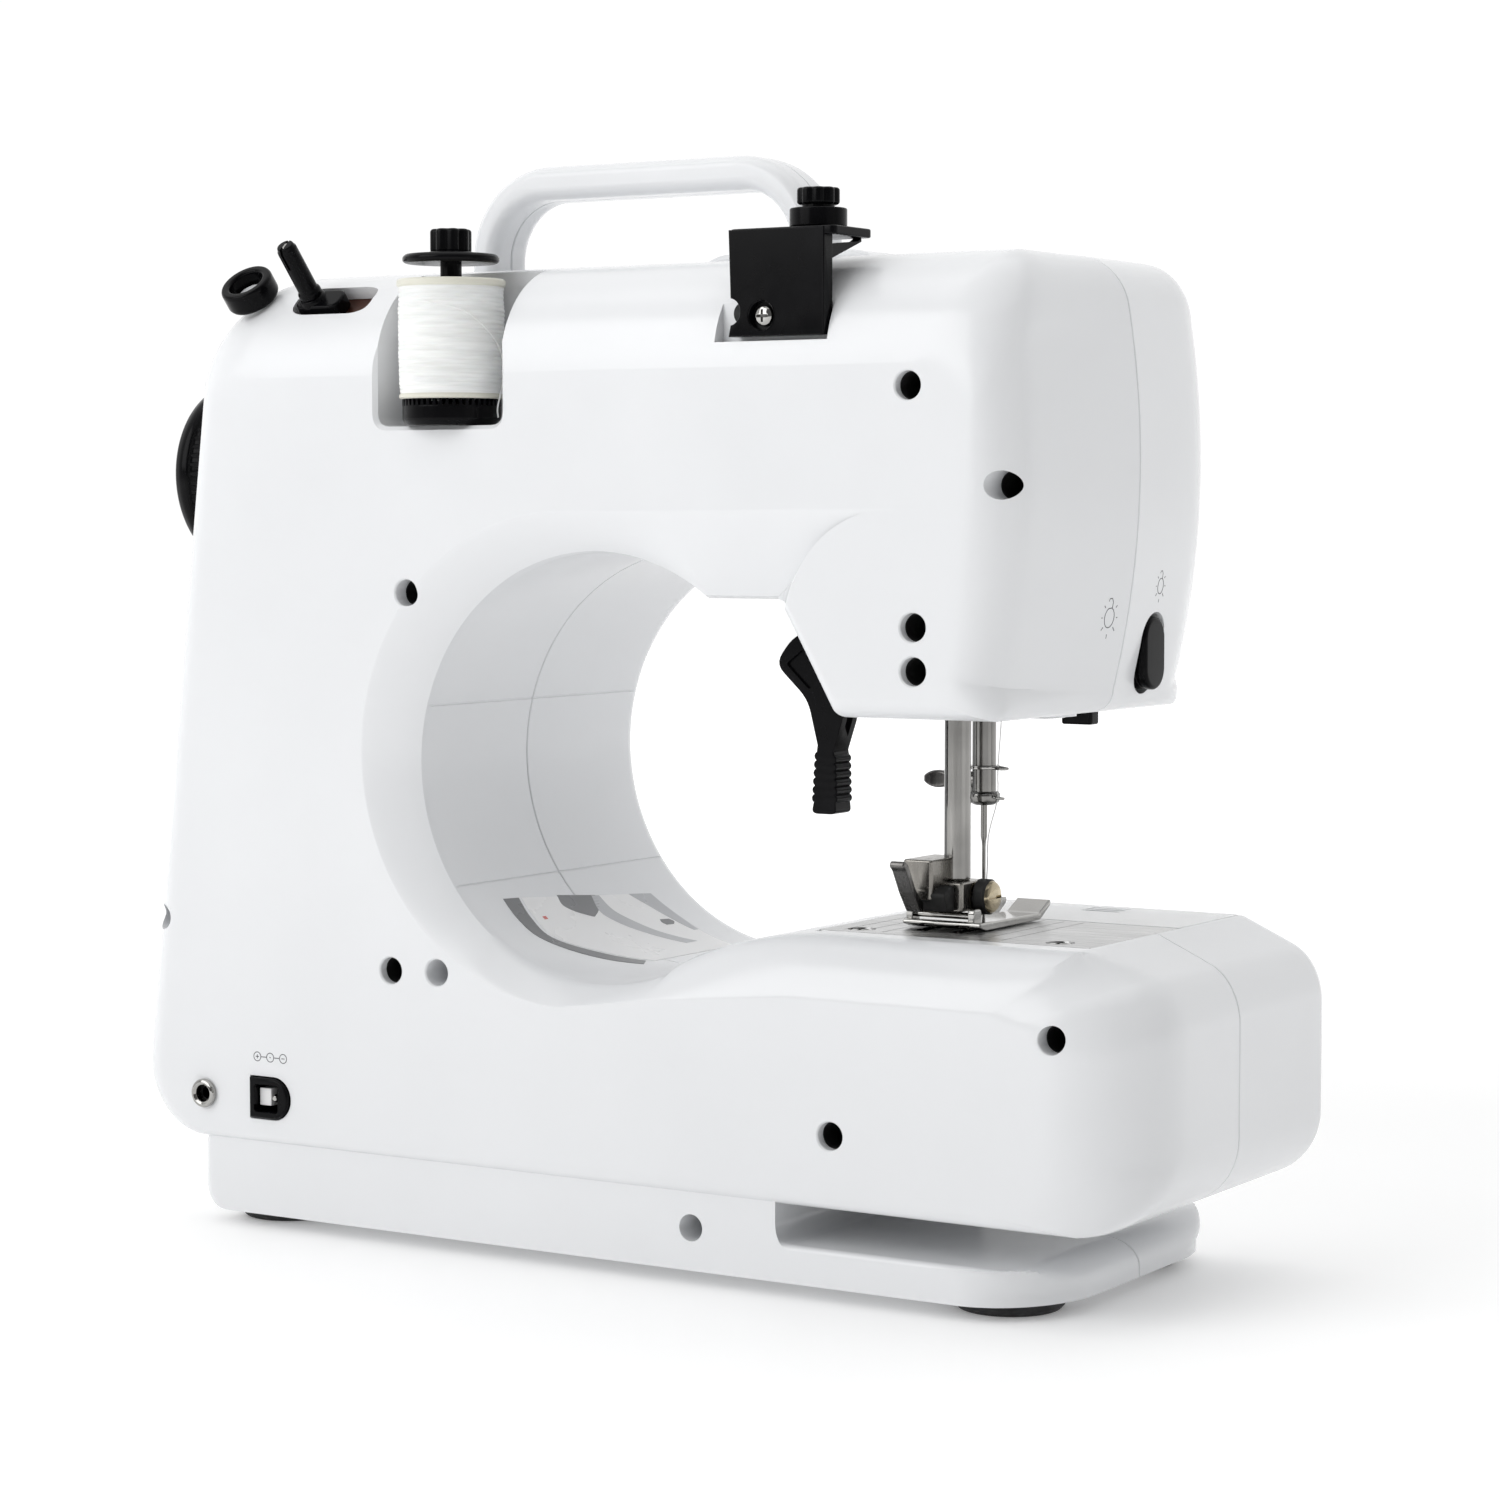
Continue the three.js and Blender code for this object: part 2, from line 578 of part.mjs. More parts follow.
function frontCover() {
  const whole = coverBlock("front");
  const shell = whole.subtract(coverHollow("front")).add(ledge().intersect(whole));
  const takeUpSlot = block(TAKE_UP.x - 2.5, TAKE_UP.x + 2.5, FRONT - 1, -33, 172, 219);
  const dials = [TENSION, STITCH].map(({ x, z }) => rod("y", x, z, 4.3, FRONT - 1, -38, 12));
  const buttons = BUTTONS.map(([x, z]) => rod("y", x, z, BUTTON_R + GAP, FRONT - 1, -38, 18));
  const { y, z, width, height } = LAMP_SWITCH;
  const rocker = prism(pill(y, z, width + 1, height + 2), "x", -118, -106);
  return cut(shell, takeUpSlot, ...dials, ...buttons, rocker, ...sharedCuts());
}

// Leans a solid back about the X axis through the origin and moves it to its place on the rounding.
function tilted(solid, target) {
  const geometry = geometryOf(solid);
  geometry.rotateX(THREE.MathUtils.degToRad(WINDER.tilt));
  geometry.translate(0, target.y, target.z);
  return solidOf(geometry);
}

function bottomCover() {
  const rear = COVERS.rear.baseFace - WALL - GAP;
  const front = COVERS.front.baseFace + WALL + GAP;
  const reach = 26;
  const corner = (side, from) =>
    Array.from({ length: 6 }, (_, i) => arc(-93.5, side, 19.5, reach, from, from + 90)(i / 5));
  const ends = [...corner(rear - reach, 90), ...corner(front + reach, 180)];
  const plate = prism([...ends, [108.7, front], [108.7, rear]], "z", BASE_BOTTOM, BASE_BOTTOM + WALL);
  const [x, z] = SCREW_HOLES[SCREW_HOLES.length - 1];
  return plate.subtract(rod("y", x, z, SCREW_HOLE.boss + GAP, SEAM - 1, BACK, 10));
}

// ---------- fixed outer parts ----------

function foot(x, y) {
  const { r, height } = FEET;
  return turned([[0, 0], [r - 1, 0], [r, 1], [r, height], [0, height]], "z", x, y, 20);
}

// The outline of the handle arch: up one leg, over and down the other.
function arch(left, right, top, r) {
  const low = TOP + GAP;
  const quarters = [0, 0.25, 0.5, 0.75, 1];
  const turn = (centre, from) => quarters.map(arc(centre, top - r, r, r, from, from - 90));
  return [[left, low], ...turn(left + r, 180), ...turn(right - r, 90), [right, low]];
}

// One half of the carrying handle with the low pad round its -X leg.
function handleHalf(y0, y1, padY0, padY1) {
  const low = TOP + GAP;
  const outline = [...arch(-38, 60, 257.5, 22), ...arch(-31, 52.8, 249.5, 14).reverse()];
  const pad = prism([[-58, low], [-52, low + 2.4], [-14, low + 2.4], [-8, low]], "y", padY0, padY1);
  return prism(outline, "y", y0, y1).add(pad);
}

const GUIDE_SCREW = { x: -49.5, z: 217.5, r: 1.5, head: 2.6 };

function threadGuideBracket() {
  const { x, z, r, head } = GUIDE_SCREW;
  const plate = prism([[-65.5, 213], [-41, 213], [-41, 236.5], [-65.5, 236.5]], "y", BACK - 4, BACK);
  const flange = block(-68, -41, 37, BACK, 234.5, 236.5);
  const gusset = prism([[BACK - 4.5, 228], [BACK - 4.5, 235], [44, 235]], "x", -65.5, -63.5);
  const notch = rod("y", -41, 218.5, 3, BACK - 5, BACK + 1, 12);
  const seat = rod("y", x, z, head + GAP, BACK - 1.8, BACK + 1, 14);
  const hole = rod("y", x, z, r + GAP, BACK - 5, BACK + 1, 10);
  const post = rod("z", GUIDE.x, GUIDE.y, 2, 236, 244.2, 10);
  return cut(joined(plate, flange, gusset, post), notch, seat, hole);
}

function guideScrew() {
  const { x, z, r, head } = GUIDE_SCREW;
  const shank = rod("y", x, z, r, BACK - 4, BACK - 1.4, 10);
  const top = rod("y", x, z, head, BACK - 1.5, BACK - 0.2, 14);
  const cross = [block(x - 0.4, x + 0.4, BACK - 0.9, BACK, z - 1.5, z + 1.5),
    block(x - 1.5, x + 1.5, BACK - 0.9, BACK, z - 0.4, z + 0.4)];
  return cut(shank.add(top), ...cross);
}

function pretensionKnob() {
  const { x, y } = GUIDE;
  const collar = turned([[0, 236.8], [6.35, 236.8], [6.35, 241.2], [0, 241.2]], "z", x, y, 20);
  const knob = fluted("z", x, y, 4.6, 4, 8, 241.2, 245.5);
  return collar.add(knob).subtract(rod("z", x, y, 2 + GAP, 236, 244.5, 10));
}

// Round base with the pin that carries the spool.
function spoolPin() {
  const { x, y, low, pin } = SPOOL;
  const floor = POCKET.z + GAP;
  const seat = low - 0.4;
  const [baseR, top] = [11.5, 236];
  const base = [[0, floor], [baseR - 1, floor], [baseR, floor + 1], [baseR, seat]];
  return turned([...base, [pin, seat], [pin, top], [0, top]], "z", x, y);
}

// Core tube with a flange at each end.
function spoolCore() {
  const { x, y, low, high, r, pin } = SPOOL;
  const bore = pin + 0.4;
  const tube = bore + 1.3;
  const lower = [[bore, low], [r - 0.6, low], [r - 0.6, low + 1.2], [tube, low + 1.2]];
  const upper = [[tube, high - 1.8], [r + 0.2, high - 1.8], [r + 0.2, high], [bore, high]];
  return turned([...lower, ...upper, lower[0]], "z", x, y);
}

const threadWinding = () => ring("z", SPOOL.x, SPOOL.y, SPOOL.r, 4.5, SPOOL.low + 1.5, SPOOL.high - 2.1, 24);

function spoolCap() {
  const { x, y, pin } = SPOOL;
  const [low, high, discTop, discR] = [232.2, 240.2, 234.4, 11.2];
  const rim = [[0, low], [discR - 0.2, low], [discR, low + 0.8], [discR - 0.4, discTop], [0, discTop]];
  const knob = fluted("z", x, y, 4.75, 4.2, 8, discTop, high);
  return turned(rim, "z", x, y).add(knob).subtract(rod("z", x, y, pin + GAP, low - 2, 236.6, 12));
}

// The winder arm lies in the slot; its spindle turns in it. Both are made upright and then leaned back.
function winderArm() {
  const { x } = WINDER;
  const plate = block(x - 8.6, x + 4.4, -3.4, 3.4, -4, 1);
  const bore = rod("z", x, 0, 1.6, -5, 2, 10);
  return tilted(cut(plate, bore), WINDER);
}

function winderSpindle() {
  const [pivotR, r, collar, top] = [1.3, 2.5, 1.3, 16.2];
  const lower = [[0, -3.5], [pivotR, -3.5], [pivotR, collar], [r + 0.3, collar], [r, collar + 1.7]];
  return tilted(turned([...lower, [r, top - 0.6], [r - 0.5, top], [0, top]], "z", WINDER.x, 0, 16), WINDER);
}

// Eccentric ring that stops the bobbin when it is full, on a post of the cover.
function winderStopRing() {
  const { x, r, height } = STOP_RING;
  return tilted(ring("z", x, 0, r, 4.25, -height, 0), STOP_RING);
}

const winderStopPost = () => tilted(rod("z", STOP_RING.x, 0, 3.9, -8.2, -0.6, 14), STOP_RING);

function dcJack() {
  const { x, z } = DC_JACK;
  const shell = prism(inletOutline(0), "y", 43, BACK + 1);
  const well = block(x - 3, x + 4.4, 46, BACK + 2, z - 3.4, z + 3.4);
  return shell.subtract(well).add(rod("y", x + 0.6, z, 1, 45.5, BACK - 1, 8));
}

function pedalJack() {
  const { x, z, r } = PEDAL_JACK;
  const barrel = rod("y", x, z, r, 43, BACK + 0.2, 14);
  const nut = rod("y", x, z, r + 0.5, BACK + GAP, BACK + 1.5, 14);
  const neck = rod("y", x, z, r - 0.5, BACK, BACK + 1, 14);
  return joined(barrel, neck, nut).subtract(rod("y", x, z, 1.9, 46, BACK + 2, 10));
}

function lampLens() {
  const [r, low, top] = [6.3, 127.3, HEAD_BOTTOM - GAP];
  return turned([[0, low], [r - 1.3, low], [r, low + 1.3], [r, top], [0, top]], "z", -97.5, 12, 16);
}

const threadCutter = () => block(-101.5, -94, -8, -4, 126.6, 129.5);

function needlePlate() {
  const { x0, x1, split, back, thick } = PLATE;
  const plate = block(x0, x1, split + GAP / 2, back, ARM_TOP - thick, ARM_TOP);
  const needleSlot = block(NEEDLE.x - 3, NEEDLE.x + 3, NEEDLE.y - 1, NEEDLE.y + 1, 70, 90);
  const dogSlots = [-6, 3].map((dx) => block(NEEDLE.x + dx - 0.2, NEEDLE.x + dx + 3.2, 8.4, 27, 70, 90));
  return cut(plate, needleSlot, ...dogSlots);
}

function feedDog() {
  const carrier = block(NEEDLE.x - 8, NEEDLE.x + 8, 9, 27, 72, 75);
  const rows = [-6, 3].map((dx) => {
    const teeth = [[10.6, 74.9], [10.6, 80.2]];
    for (let k = 0; k < 6; k++) teeth.push([11.8 + 2.2 * k, 80.9], [12.8 + 2.2 * k, 80.2]);
    return prism([...teeth, [24.6, 80.2], [24.6, 74.9]], "x", NEEDLE.x + dx + 0.3, NEEDLE.x + dx + 2.7);
  });
  return joined(carrier, ...rows);
}

function bobbinCover() {
  const { x0, x1, front, split, thick } = PLATE;
  const plate = block(x0, x1, front, split - GAP / 2, ARM_TOP - thick, ARM_TOP);
  const grooves = [-37, -34, -31].map((y) => block(-96, -86, y, y + 1.4, ARM_TOP - 0.5, ARM_TOP + 1));
  return cut(plate, ...grooves);
}

// Fluted grip with a plain flange outside it, hollow towards the body round its hub.
function handwheel() {
  const { y, z, r } = SHAFT;
  const [inside, flangeX, outside, flangeR] = [120.5, 136, 143, 23.6];
  const grip = fluted("x", y, z, flangeR - 0.8, flangeR - 1.8, 24, inside, flangeX + 0.5);
  const rim = [[0, flangeX], [flangeR - 1, flangeX], [flangeR, flangeX + 1.5], [flangeR, outside - 2.5]];
  const flange = turned([...rim, [20, outside], [0, outside]], "x", y, z, 32);
  const recess = ring("x", y, z, 19.5, 9, inside - 1.5, 132, 20);
  const bore = rod("x", y, z, r + GAP, 115, 137.5, 14);
  return cut(grip.add(flange), recess, bore);
}

// ---------- drive inside the body ----------

function mainShaft() {
  const { y, z, r } = SHAFT;
  return rod("x", y, z, r, -69.5, 137, 14).add(timingPulley(SHAFT));
}

function timingPulley({ y, z }) {
  return rod("x", y, z, GEAR_R, TIMING_X - BELT_WIDTH / 2, TIMING_X + BELT_WIDTH / 2, 16);
}

function drivePulley() {
  const { y, z, r } = SHAFT;
  return ring("x", y, z, WHEEL_BELT_R, r + GAP, BELT_X - 3, BELT_X + 3, 24);
}


function crankDisc() {
  const { y, z } = SHAFT;
  const disc = rod("x", y, z, 16.8, CRANK.x - 2.7, CRANK.x + 3, 24);
  return disc.add(rod("x", y - CRANK.throw, z, 2.2, CRANK.x - 16, CRANK.x, 10));
}

const crankPin = { y: SHAFT.y - CRANK.throw, z: SHAFT.z };
const clevis = { y: NEEDLE.y, z: SHAFT.z - Math.sqrt(ROD_LENGTH ** 2 - CRANK.throw ** 2) };

function connectingRod() {
  const [from, to] = [CRANK.x - 15.5, CRANK.x - 12.5];
  const eyes = [crankPin, clevis].map(({ y, z }) => rod("x", y, z, 4.2, from, to, 14));
  const halfWidth = 2;
  const dy = (halfWidth * (crankPin.z - clevis.z)) / ROD_LENGTH;
  const dz = (halfWidth * (clevis.y - crankPin.y)) / ROD_LENGTH;
  const upper = [[crankPin.y + dy, crankPin.z + dz], [crankPin.y - dy, crankPin.z - dz]];
  const lower = [[clevis.y - dy, clevis.z - dz], [clevis.y + dy, clevis.z + dz]];
  const bar = prism([...upper, ...lower], "x", from, to);
  const holes = [crankPin, clevis].map(({ y, z }) => rod("x", y, z, 2.6, from - 1, to + 1, 10));
  return cut(joined(bar, ...eyes), ...holes);
}

// A belt round two pulleys: a loop that stands off them by the gap.
function belt(first, firstR, second, secondR, x) {
  const distance = Math.hypot(second.y - first.y, second.z - first.z);
  const heading = Math.atan2(second.z - first.z, second.y - first.y);
  const spread = Math.acos((firstR - secondR) / distance);
  const loop = (extra) => {
    const bend = (centre, r, from, to) =>
      Array.from({ length: 9 }, (_, i) => {
        const angle = from + ((to - from) * i) / 8;
        return [centre.y + (r + extra) * Math.cos(angle), centre.z + (r + extra) * Math.sin(angle)];
      });
    return [
      ...bend(first, firstR, heading + spread, heading - spread + 2 * Math.PI),
      ...bend(second, secondR, heading - spread, heading + spread),
    ];
  };
  const [x0, x1] = [x - BELT_WIDTH / 2, x + BELT_WIDTH / 2];
  return prism(loop(1.8), "x", x0, x1).subtract(prism(loop(0.5), "x", x0 - 1, x1 + 1));
}

const driveBelt = () => belt(SHAFT, WHEEL_BELT_R, MOTOR, MOTOR_BELT_R, BELT_X);
const timingBelt = () => belt(SHAFT, GEAR_R, HOOK_SHAFT, GEAR_R, TIMING_X);

const motor = () =>
  rod("x", MOTOR.y, MOTOR.z, MOTOR.r, 59.2, 92, 20).add(rod("x", MOTOR.y, MOTOR.z, 1.5, 91, 99.5, 10));
function motorPulley() {
  const { y, z } = MOTOR;
  const wheel = rod("x", y, z, MOTOR_BELT_R, BELT_X - 3, BELT_X + 3, 16);
  return wheel.subtract(rod("x", y, z, 1, BELT_X, BELT_X + 4, 8));
}

function hookShaft() {
  const { y, z, r } = HOOK_SHAFT;
  const gear = fluted("x", y, z, 7.5, 6.3, 12, BOBBIN.x + 11, BOBBIN.x + 15);
  return joined(rod("x", y, z, r, BOBBIN.x + 9, TIMING_X + 4, 12), timingPulley(HOOK_SHAFT), gear);
}

// Rotating cup under the bobbin cover, with its short vertical shaft.
function rotaryHook() {
  const profile = [[0, 50], [3, 50], [3, 58], [17, 58], [17, 74], [15.4, 74], [15.4, 60], [0, 60]];
  return turned(profile, "z", BOBBIN.x, BOBBIN.y, 24);
}

// Open cup that holds the bobbin on a short post.
function bobbinCase() {
  const [r, wall, low, floor, top] = [15, 1.8, 60.3, 61.8, 75];
  const post = [[1.5, floor], [1.5, 68], [0, 68]];
  const cup = [[0, low], [r, low], [r, top], [r - wall, top], [r - wall, floor]];
  return turned([...cup, ...post], "z", BOBBIN.x, BOBBIN.y, 24);
}

function bobbin() {
  const [bore, core, rim, low, high] = [3, 4, 10.3, 62.2, 73.8];
  const lower = [[bore, low], [rim, low], [rim, low + 1], [core, low + 1]];
  const upper = [[core, high - 1], [rim, high - 1], [rim, high], [bore, high]];
  return turned([...lower, ...upper, lower[0]], "z", BOBBIN.x, BOBBIN.y, 20);
}

// Steel plate behind the front cover, with arms that reach back to carry the shafts.
function chassis() {
  const [y0, y1] = [-40.6, -37.8];
  const armBand = [[-64, 174], [-64, 200], [104, 200], [104, 32]];
  const baseBand = [[-60, 32], [-60, 42], [66, 42], [66, 174]];
  const plate = prism([...armBand, ...baseBand], "y", y0, y1);
  const start = y0 + 0.5;
  const upper = [-58, 92].map((x) => block(x - 2, x + 2, start, SHAFT.y + 9, SHAFT.z - 8, SHAFT.z + 8));
  const lower = [-50, 66].map((x) => block(x - 2, x + 2, start, HOOK_SHAFT.y + 7, 36, HOOK_SHAFT.z + 7));
  const shaftHole = rod("x", SHAFT.y, SHAFT.z, 6.3, -70, 110, 14);
  const hookHole = rod("x", HOOK_SHAFT.y, HOOK_SHAFT.z, HOOK_SHAFT.r + GAP, -70, 72, 12);
  return cut(joined(plate, ...upper, ...lower), shaftHole, hookHole);
}

const shaftBush = (x) => ring("x", SHAFT.y, SHAFT.z, 6, SHAFT.r + GAP, x - 3, x + 3, 14);
const controlBoard = () => block(68, 98, 47.5, 49, 40, 72);

// ---------- needle, presser foot and their levers ----------

function needleBar() {
  const { x, y, r } = NEEDLE;
  return rod("z", x, y, r, 109.5, 157.5, 14).add(rod("x", clevis.y, clevis.z, 2, CRANK.x - 11.8, x, 10));
}

// Collar at the end of the needle bar with its wire thread guide.
function needleClamp() {
  const { x, y, r } = NEEDLE;
  const collar = ring("z", x, y, r + 1.1, r + GAP, 108.6, 111, 16);
  const boss = rod("x", y, CLAMP_Z, 1.9, x + r + GAP, x + r + 3, 10);
  const link = block(x + r + 0.4, x + r + 1.4, y - 1.2, y + 1.2, 110, 113);
  return joined(collar, link, boss).subtract(rod("x", y, CLAMP_Z, 1, x, x + r + 2, 8));
}

function clampScrew() {
  const { x, y, r } = NEEDLE;
  const neck = rod("x", y, CLAMP_Z, 1.2, x + r + 3 + GAP, x + r + 5.6, 8);
  return neck.add(prism(pill(y, CLAMP_Z, 2.4, 6), "x", x + r + 5.5, x + r + 12.5));
}

function needle() {
  const profile = [[0, NEEDLE.tip], [0.45, NEEDLE.tip + 3], [0.45, 99], [1, 101], [1, 109.2], [0, 109.2]];
  return turned(profile, "z", NEEDLE.x, NEEDLE.y, 10);
}

// Swinging lever on the front that pulls the stitch tight.
function takeUpLever() {
  const { x, y, z, thick } = TAKE_UP;
  const [from, to] = [x - thick / 2, x + thick / 2];
  const underside = [[y, z - 3.2], [y - 14, z + 8], [y - 27, z + 26], [y - 31, z + 32]];
  const topside = [[y - 35, z + 30], [y - 30, z + 22], [y - 18, z + 4]];
  const arm = prism([...underside, ...topside], "x", from, to);
  const hub = rod("x", y, z, 4.5, from, to, 14);
  const eye = rod("x", y - 31, z + 29.5, 1, from - 1, to + 1, 8);
  return cut(joined(arm, hub), eye);
}

function presserBar() {
  const { x, y, r } = PRESSER;
  return rod("z", x, y, r, 92, 160, 14).add(rod("z", x, y, 5.4, 136, 139.7, 14));
}

const presserSpring = () => ring("z", PRESSER.x, PRESSER.y, 5.2, PRESSER.r + 0.4, 140, 156, 12);

// The ankle grips the +X side of the bar and carries the foot below.
function presserAnkle() {
  const { x, y, r } = PRESSER;
  const clasp = block(x + 0.5, x + 8, y - 3.5, y + 11, 88, 97);
  const shank = block(x - 4.5, x + 8, y - 5.5, y + 6, 85.2, 91.7);
  return joined(clasp, shank).subtract(rod("z", x, y, r + GAP, 91.6, 100, 14));
}

function ankleScrew() {
  const { x, y } = PRESSER;
  const [outer, inner, r] = [x - 8.6, x - 4.8, 3.8];
  const profile = [[0, outer], [r - 0.6, outer], [r, outer + 0.8], [r, inner], [0, inner]];
  return turned(profile, "x", y - 2, 88.2, 18);
}

function presserFoot() {
  const { x } = PRESSER;
  const low = ARM_TOP + GAP;
  const underside = [[-9, low + 3], [-4, low], [22, low], [25, low + 1]];
  const topside = [[25, low + 1.9], [-3.4, low + 1.6], [-9, low + 4.4]];
  const sole = prism([...underside, ...topside], "x", x - 10, x + 10);
  const needleSlot = block(x - 1.6, x + 1.6, -12, 9, low - 1, low + 6);
  const lugs = [x - 7.4, x + 8.4].map((x0) => block(x0, x0 + 1.6, 19.6, 23.2, low + 1, 86));
  const pin = rod("x", 21, 84.2, 0.8, x - 6.5, x + 9, 8);
  return joined(sole.subtract(needleSlot), ...lugs, pin);
}

function footRelease() {
  const { x, y } = PRESSER;
  const back = y + 11 + GAP;
  const outline = [[back, 85.5], [back + 2.4, 85.5], [back + 9.6, 96.4], [back + 8.6, 97.6], [back, 88.5]];
  return prism(outline, "x", x + 1.5, x + 6.5);
}

function presserLifter() {
  const { x, y, z, width } = LIFTER;
  const [from, to] = [y - width / 2, y + width / 2];
  const elbow = [[x, z + 4.4], [-43.5, 146.3], [-39.2, 140.2], [-47.3, 132.4]];
  const grip = [[-50, 121.4], [-48.8, 106.6], [-54.9, 106.6], [-54.6, 120.8]];
  const inner = [[-57.6, 130.2], [-50.5, 138.5], [x, z - 4.4]];
  const arm = prism([...elbow, ...grip, ...inner], "y", from, to);
  const hub = rod("y", x, z, 4.6, from, to, 16);
  return joined(arm, hub).subtract(rod("y", x, z, 1.6, from - 1, to + 1, 10));
}

// ---------- controls on the front and the needle end ----------

function dial({ x, z, r }, flutes) {
  const depth = FRONT - GAP;
  const knob = fluted("y", x, z, r, r - 1, flutes, DIAL_OUT + 1.5, depth);
  const face = rod("y", x, z, r - 2, DIAL_OUT, DIAL_OUT + 2, 24);
  return joined(knob, face, rod("y", x, z, 3.8, depth - 1, -41.3, 10));
}

const button = ([x, z]) => rod("y", x, z, BUTTON_R, FRONT - 4, FRONT + 1.8, 18);

function lampSwitch() {
  const { y, z, width, height } = LAMP_SWITCH;
  return prism(pill(y, z, width, height), "x", -115, -107.5);
}

// ---------- assembly ----------

function finish(color, roughness, metalness) {
  return new THREE.MeshStandardMaterial({ color, roughness, metalness });
}

const WHITE = finish(0xf2f3f4, 0.25, 0);
const BLACK = finish(0x17181a, 0.3, 0);
const RUBBER = finish(0x141414, 0.9, 0);
const STEEL = finish(0xc4c6c8, 0.3, 1);
const CHROME = finish(0xe4e6e8, 0.12, 1);
const CLEAR = finish(0xd6dadd, 0.1, 0);
const THREAD = finish(0xf6f6f2, 0.8, 0);
const CREAM = finish(0xefeee0, 0.5, 0);
const BOARD = finish(0x1f5f3a, 0.5, 0);
const ZINC = finish(0xa7abae, 0.45, 1);

const machine = new THREE.Group();
const MERGE = 0.002; // corners closer than this are merged

function place(name, solid, material) {
  const mesh = new THREE.Mesh(geometryOf(solid.simplify(MERGE)), material);
  mesh.name = name;
  machine.add(mesh);
}

place("rear_cover", rearCover().add(winderStopPost()), WHITE);
place("front_cover", frontCover(), WHITE);
place("bottom_cover", bottomCover(), WHITE);
place("carry_handle_rear", handleHalf(SEAM + GAP / 2, 13, SEAM + GAP / 2, 16), WHITE);
place("carry_handle_front", handleHalf(-3, SEAM - GAP / 2, -6, SEAM - GAP / 2), WHITE);
for (const [end, x] of [["wheel", FEET.x], ["needle", -FEET.x]]) {
  for (const side of ["back", "front"]) {
    place(`foot_${end}_end_${side}`, foot(x, FEET[side]), RUBBER);
  }
}
place("thread_guide_bracket", threadGuideBracket(), BLACK);
place("guide_screw", guideScrew(), CHROME);
place("pretension_knob", pretensionKnob(), BLACK);
place("spool_pin", spoolPin(), BLACK);
place("spool_core", spoolCore(), CREAM);
place("thread_winding", threadWinding(), THREAD);
place("spool_cap", spoolCap(), BLACK);
place("winder_arm", winderArm(), BLACK);
place("winder_spindle", winderSpindle(), BLACK);
place("winder_stop_ring", winderStopRing(), BLACK);
place("dc_jack", dcJack(), BLACK);
place("pedal_jack", pedalJack(), CHROME);
place("lamp_lens", lampLens(), CLEAR);
place("thread_cutter", threadCutter(), BLACK);
place("needle_plate", needlePlate(), STEEL);
place("bobbin_cover", bobbinCover(), CLEAR);
place("feed_dog", feedDog(), STEEL);
place("handwheel", handwheel(), BLACK);
place("main_shaft", mainShaft(), STEEL);
place("drive_pulley", drivePulley(), WHITE);
place("crank_disc", crankDisc(), ZINC);
place("connecting_rod", connectingRod(), ZINC);
place("drive_belt", driveBelt(), RUBBER);
place("timing_belt", timingBelt(), RUBBER);
place("motor", motor(), STEEL);
place("motor_pulley", motorPulley(), BLACK);
place("hook_shaft", hookShaft(), STEEL);
place("rotary_hook", rotaryHook(), STEEL);
place("bobbin_case", bobbinCase(), BLACK);
place("bobbin", bobbin(), CLEAR);
place("chassis", chassis(), ZINC);
place("shaft_bush_needle_end", shaftBush(-58), STEEL);
place("shaft_bush_wheel_end", shaftBush(92), STEEL);
place("control_board", controlBoard(), BOARD);
place("needle_bar", needleBar(), STEEL);
place("needle_clamp", needleClamp(), STEEL);
place("clamp_screw", clampScrew(), STEEL);
place("needle", needle(), STEEL);
place("take_up_lever", takeUpLever(), CHROME);
place("presser_bar", presserBar(), STEEL);
place("presser_spring", presserSpring(), STEEL);
place("presser_ankle", presserAnkle(), CHROME);
place("ankle_screw", ankleScrew(), CHROME);
place("presser_foot", presserFoot(), CHROME);
place("foot_release", footRelease(), STEEL);
place("presser_lifter", presserLifter(), BLACK);
place("tension_dial", dial(TENSION, 18), WHITE);
place("stitch_dial", dial(STITCH, 24), WHITE);
BUTTONS.forEach((spot, i) => place(["power_button", "speed_button"][i], button(spot), WHITE));
place("lamp_switch", lampSwitch(), BLACK);

export default machine;
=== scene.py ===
"""A portable mini sewing machine: the detailed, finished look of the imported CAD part.

Lengths are in millimetres until a mesh is made; the scene itself is in metres.
+X points at the handwheel, +Y out of the back and +Z up.
"""

import json
from math import cos, hypot, pi, radians, sin, tau

import bmesh
import bpy
from mathutils import Matrix, Vector, noise
from mathutils.geometry import tessellate_polygon


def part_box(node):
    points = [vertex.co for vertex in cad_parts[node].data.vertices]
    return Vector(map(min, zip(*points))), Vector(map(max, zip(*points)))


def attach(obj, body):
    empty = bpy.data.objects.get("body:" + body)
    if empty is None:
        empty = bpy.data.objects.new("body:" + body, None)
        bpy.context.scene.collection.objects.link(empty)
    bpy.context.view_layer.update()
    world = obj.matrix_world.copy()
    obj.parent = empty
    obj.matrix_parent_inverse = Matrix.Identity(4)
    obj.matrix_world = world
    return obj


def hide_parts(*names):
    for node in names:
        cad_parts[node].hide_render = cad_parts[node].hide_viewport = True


MM = 0.001
CAMERA_PLACE, CAMERA_WAY, CAMERA_LENS = (-0.4739, 0.7364, 0.1754), (0.5294, -0.8457, -0.0661), 87.6
BACKDROP_LIGHT, ROOM_LIGHT = 1.03, 0.16  # brightness behind the machine and on the viewer's side
BACKDROP_WAY = (0.53, -0.85, 0)  # from the viewer towards the backdrop
FLOOR_GLOW = (0.17, 0.62)  # glow of the floor under the machine and far away

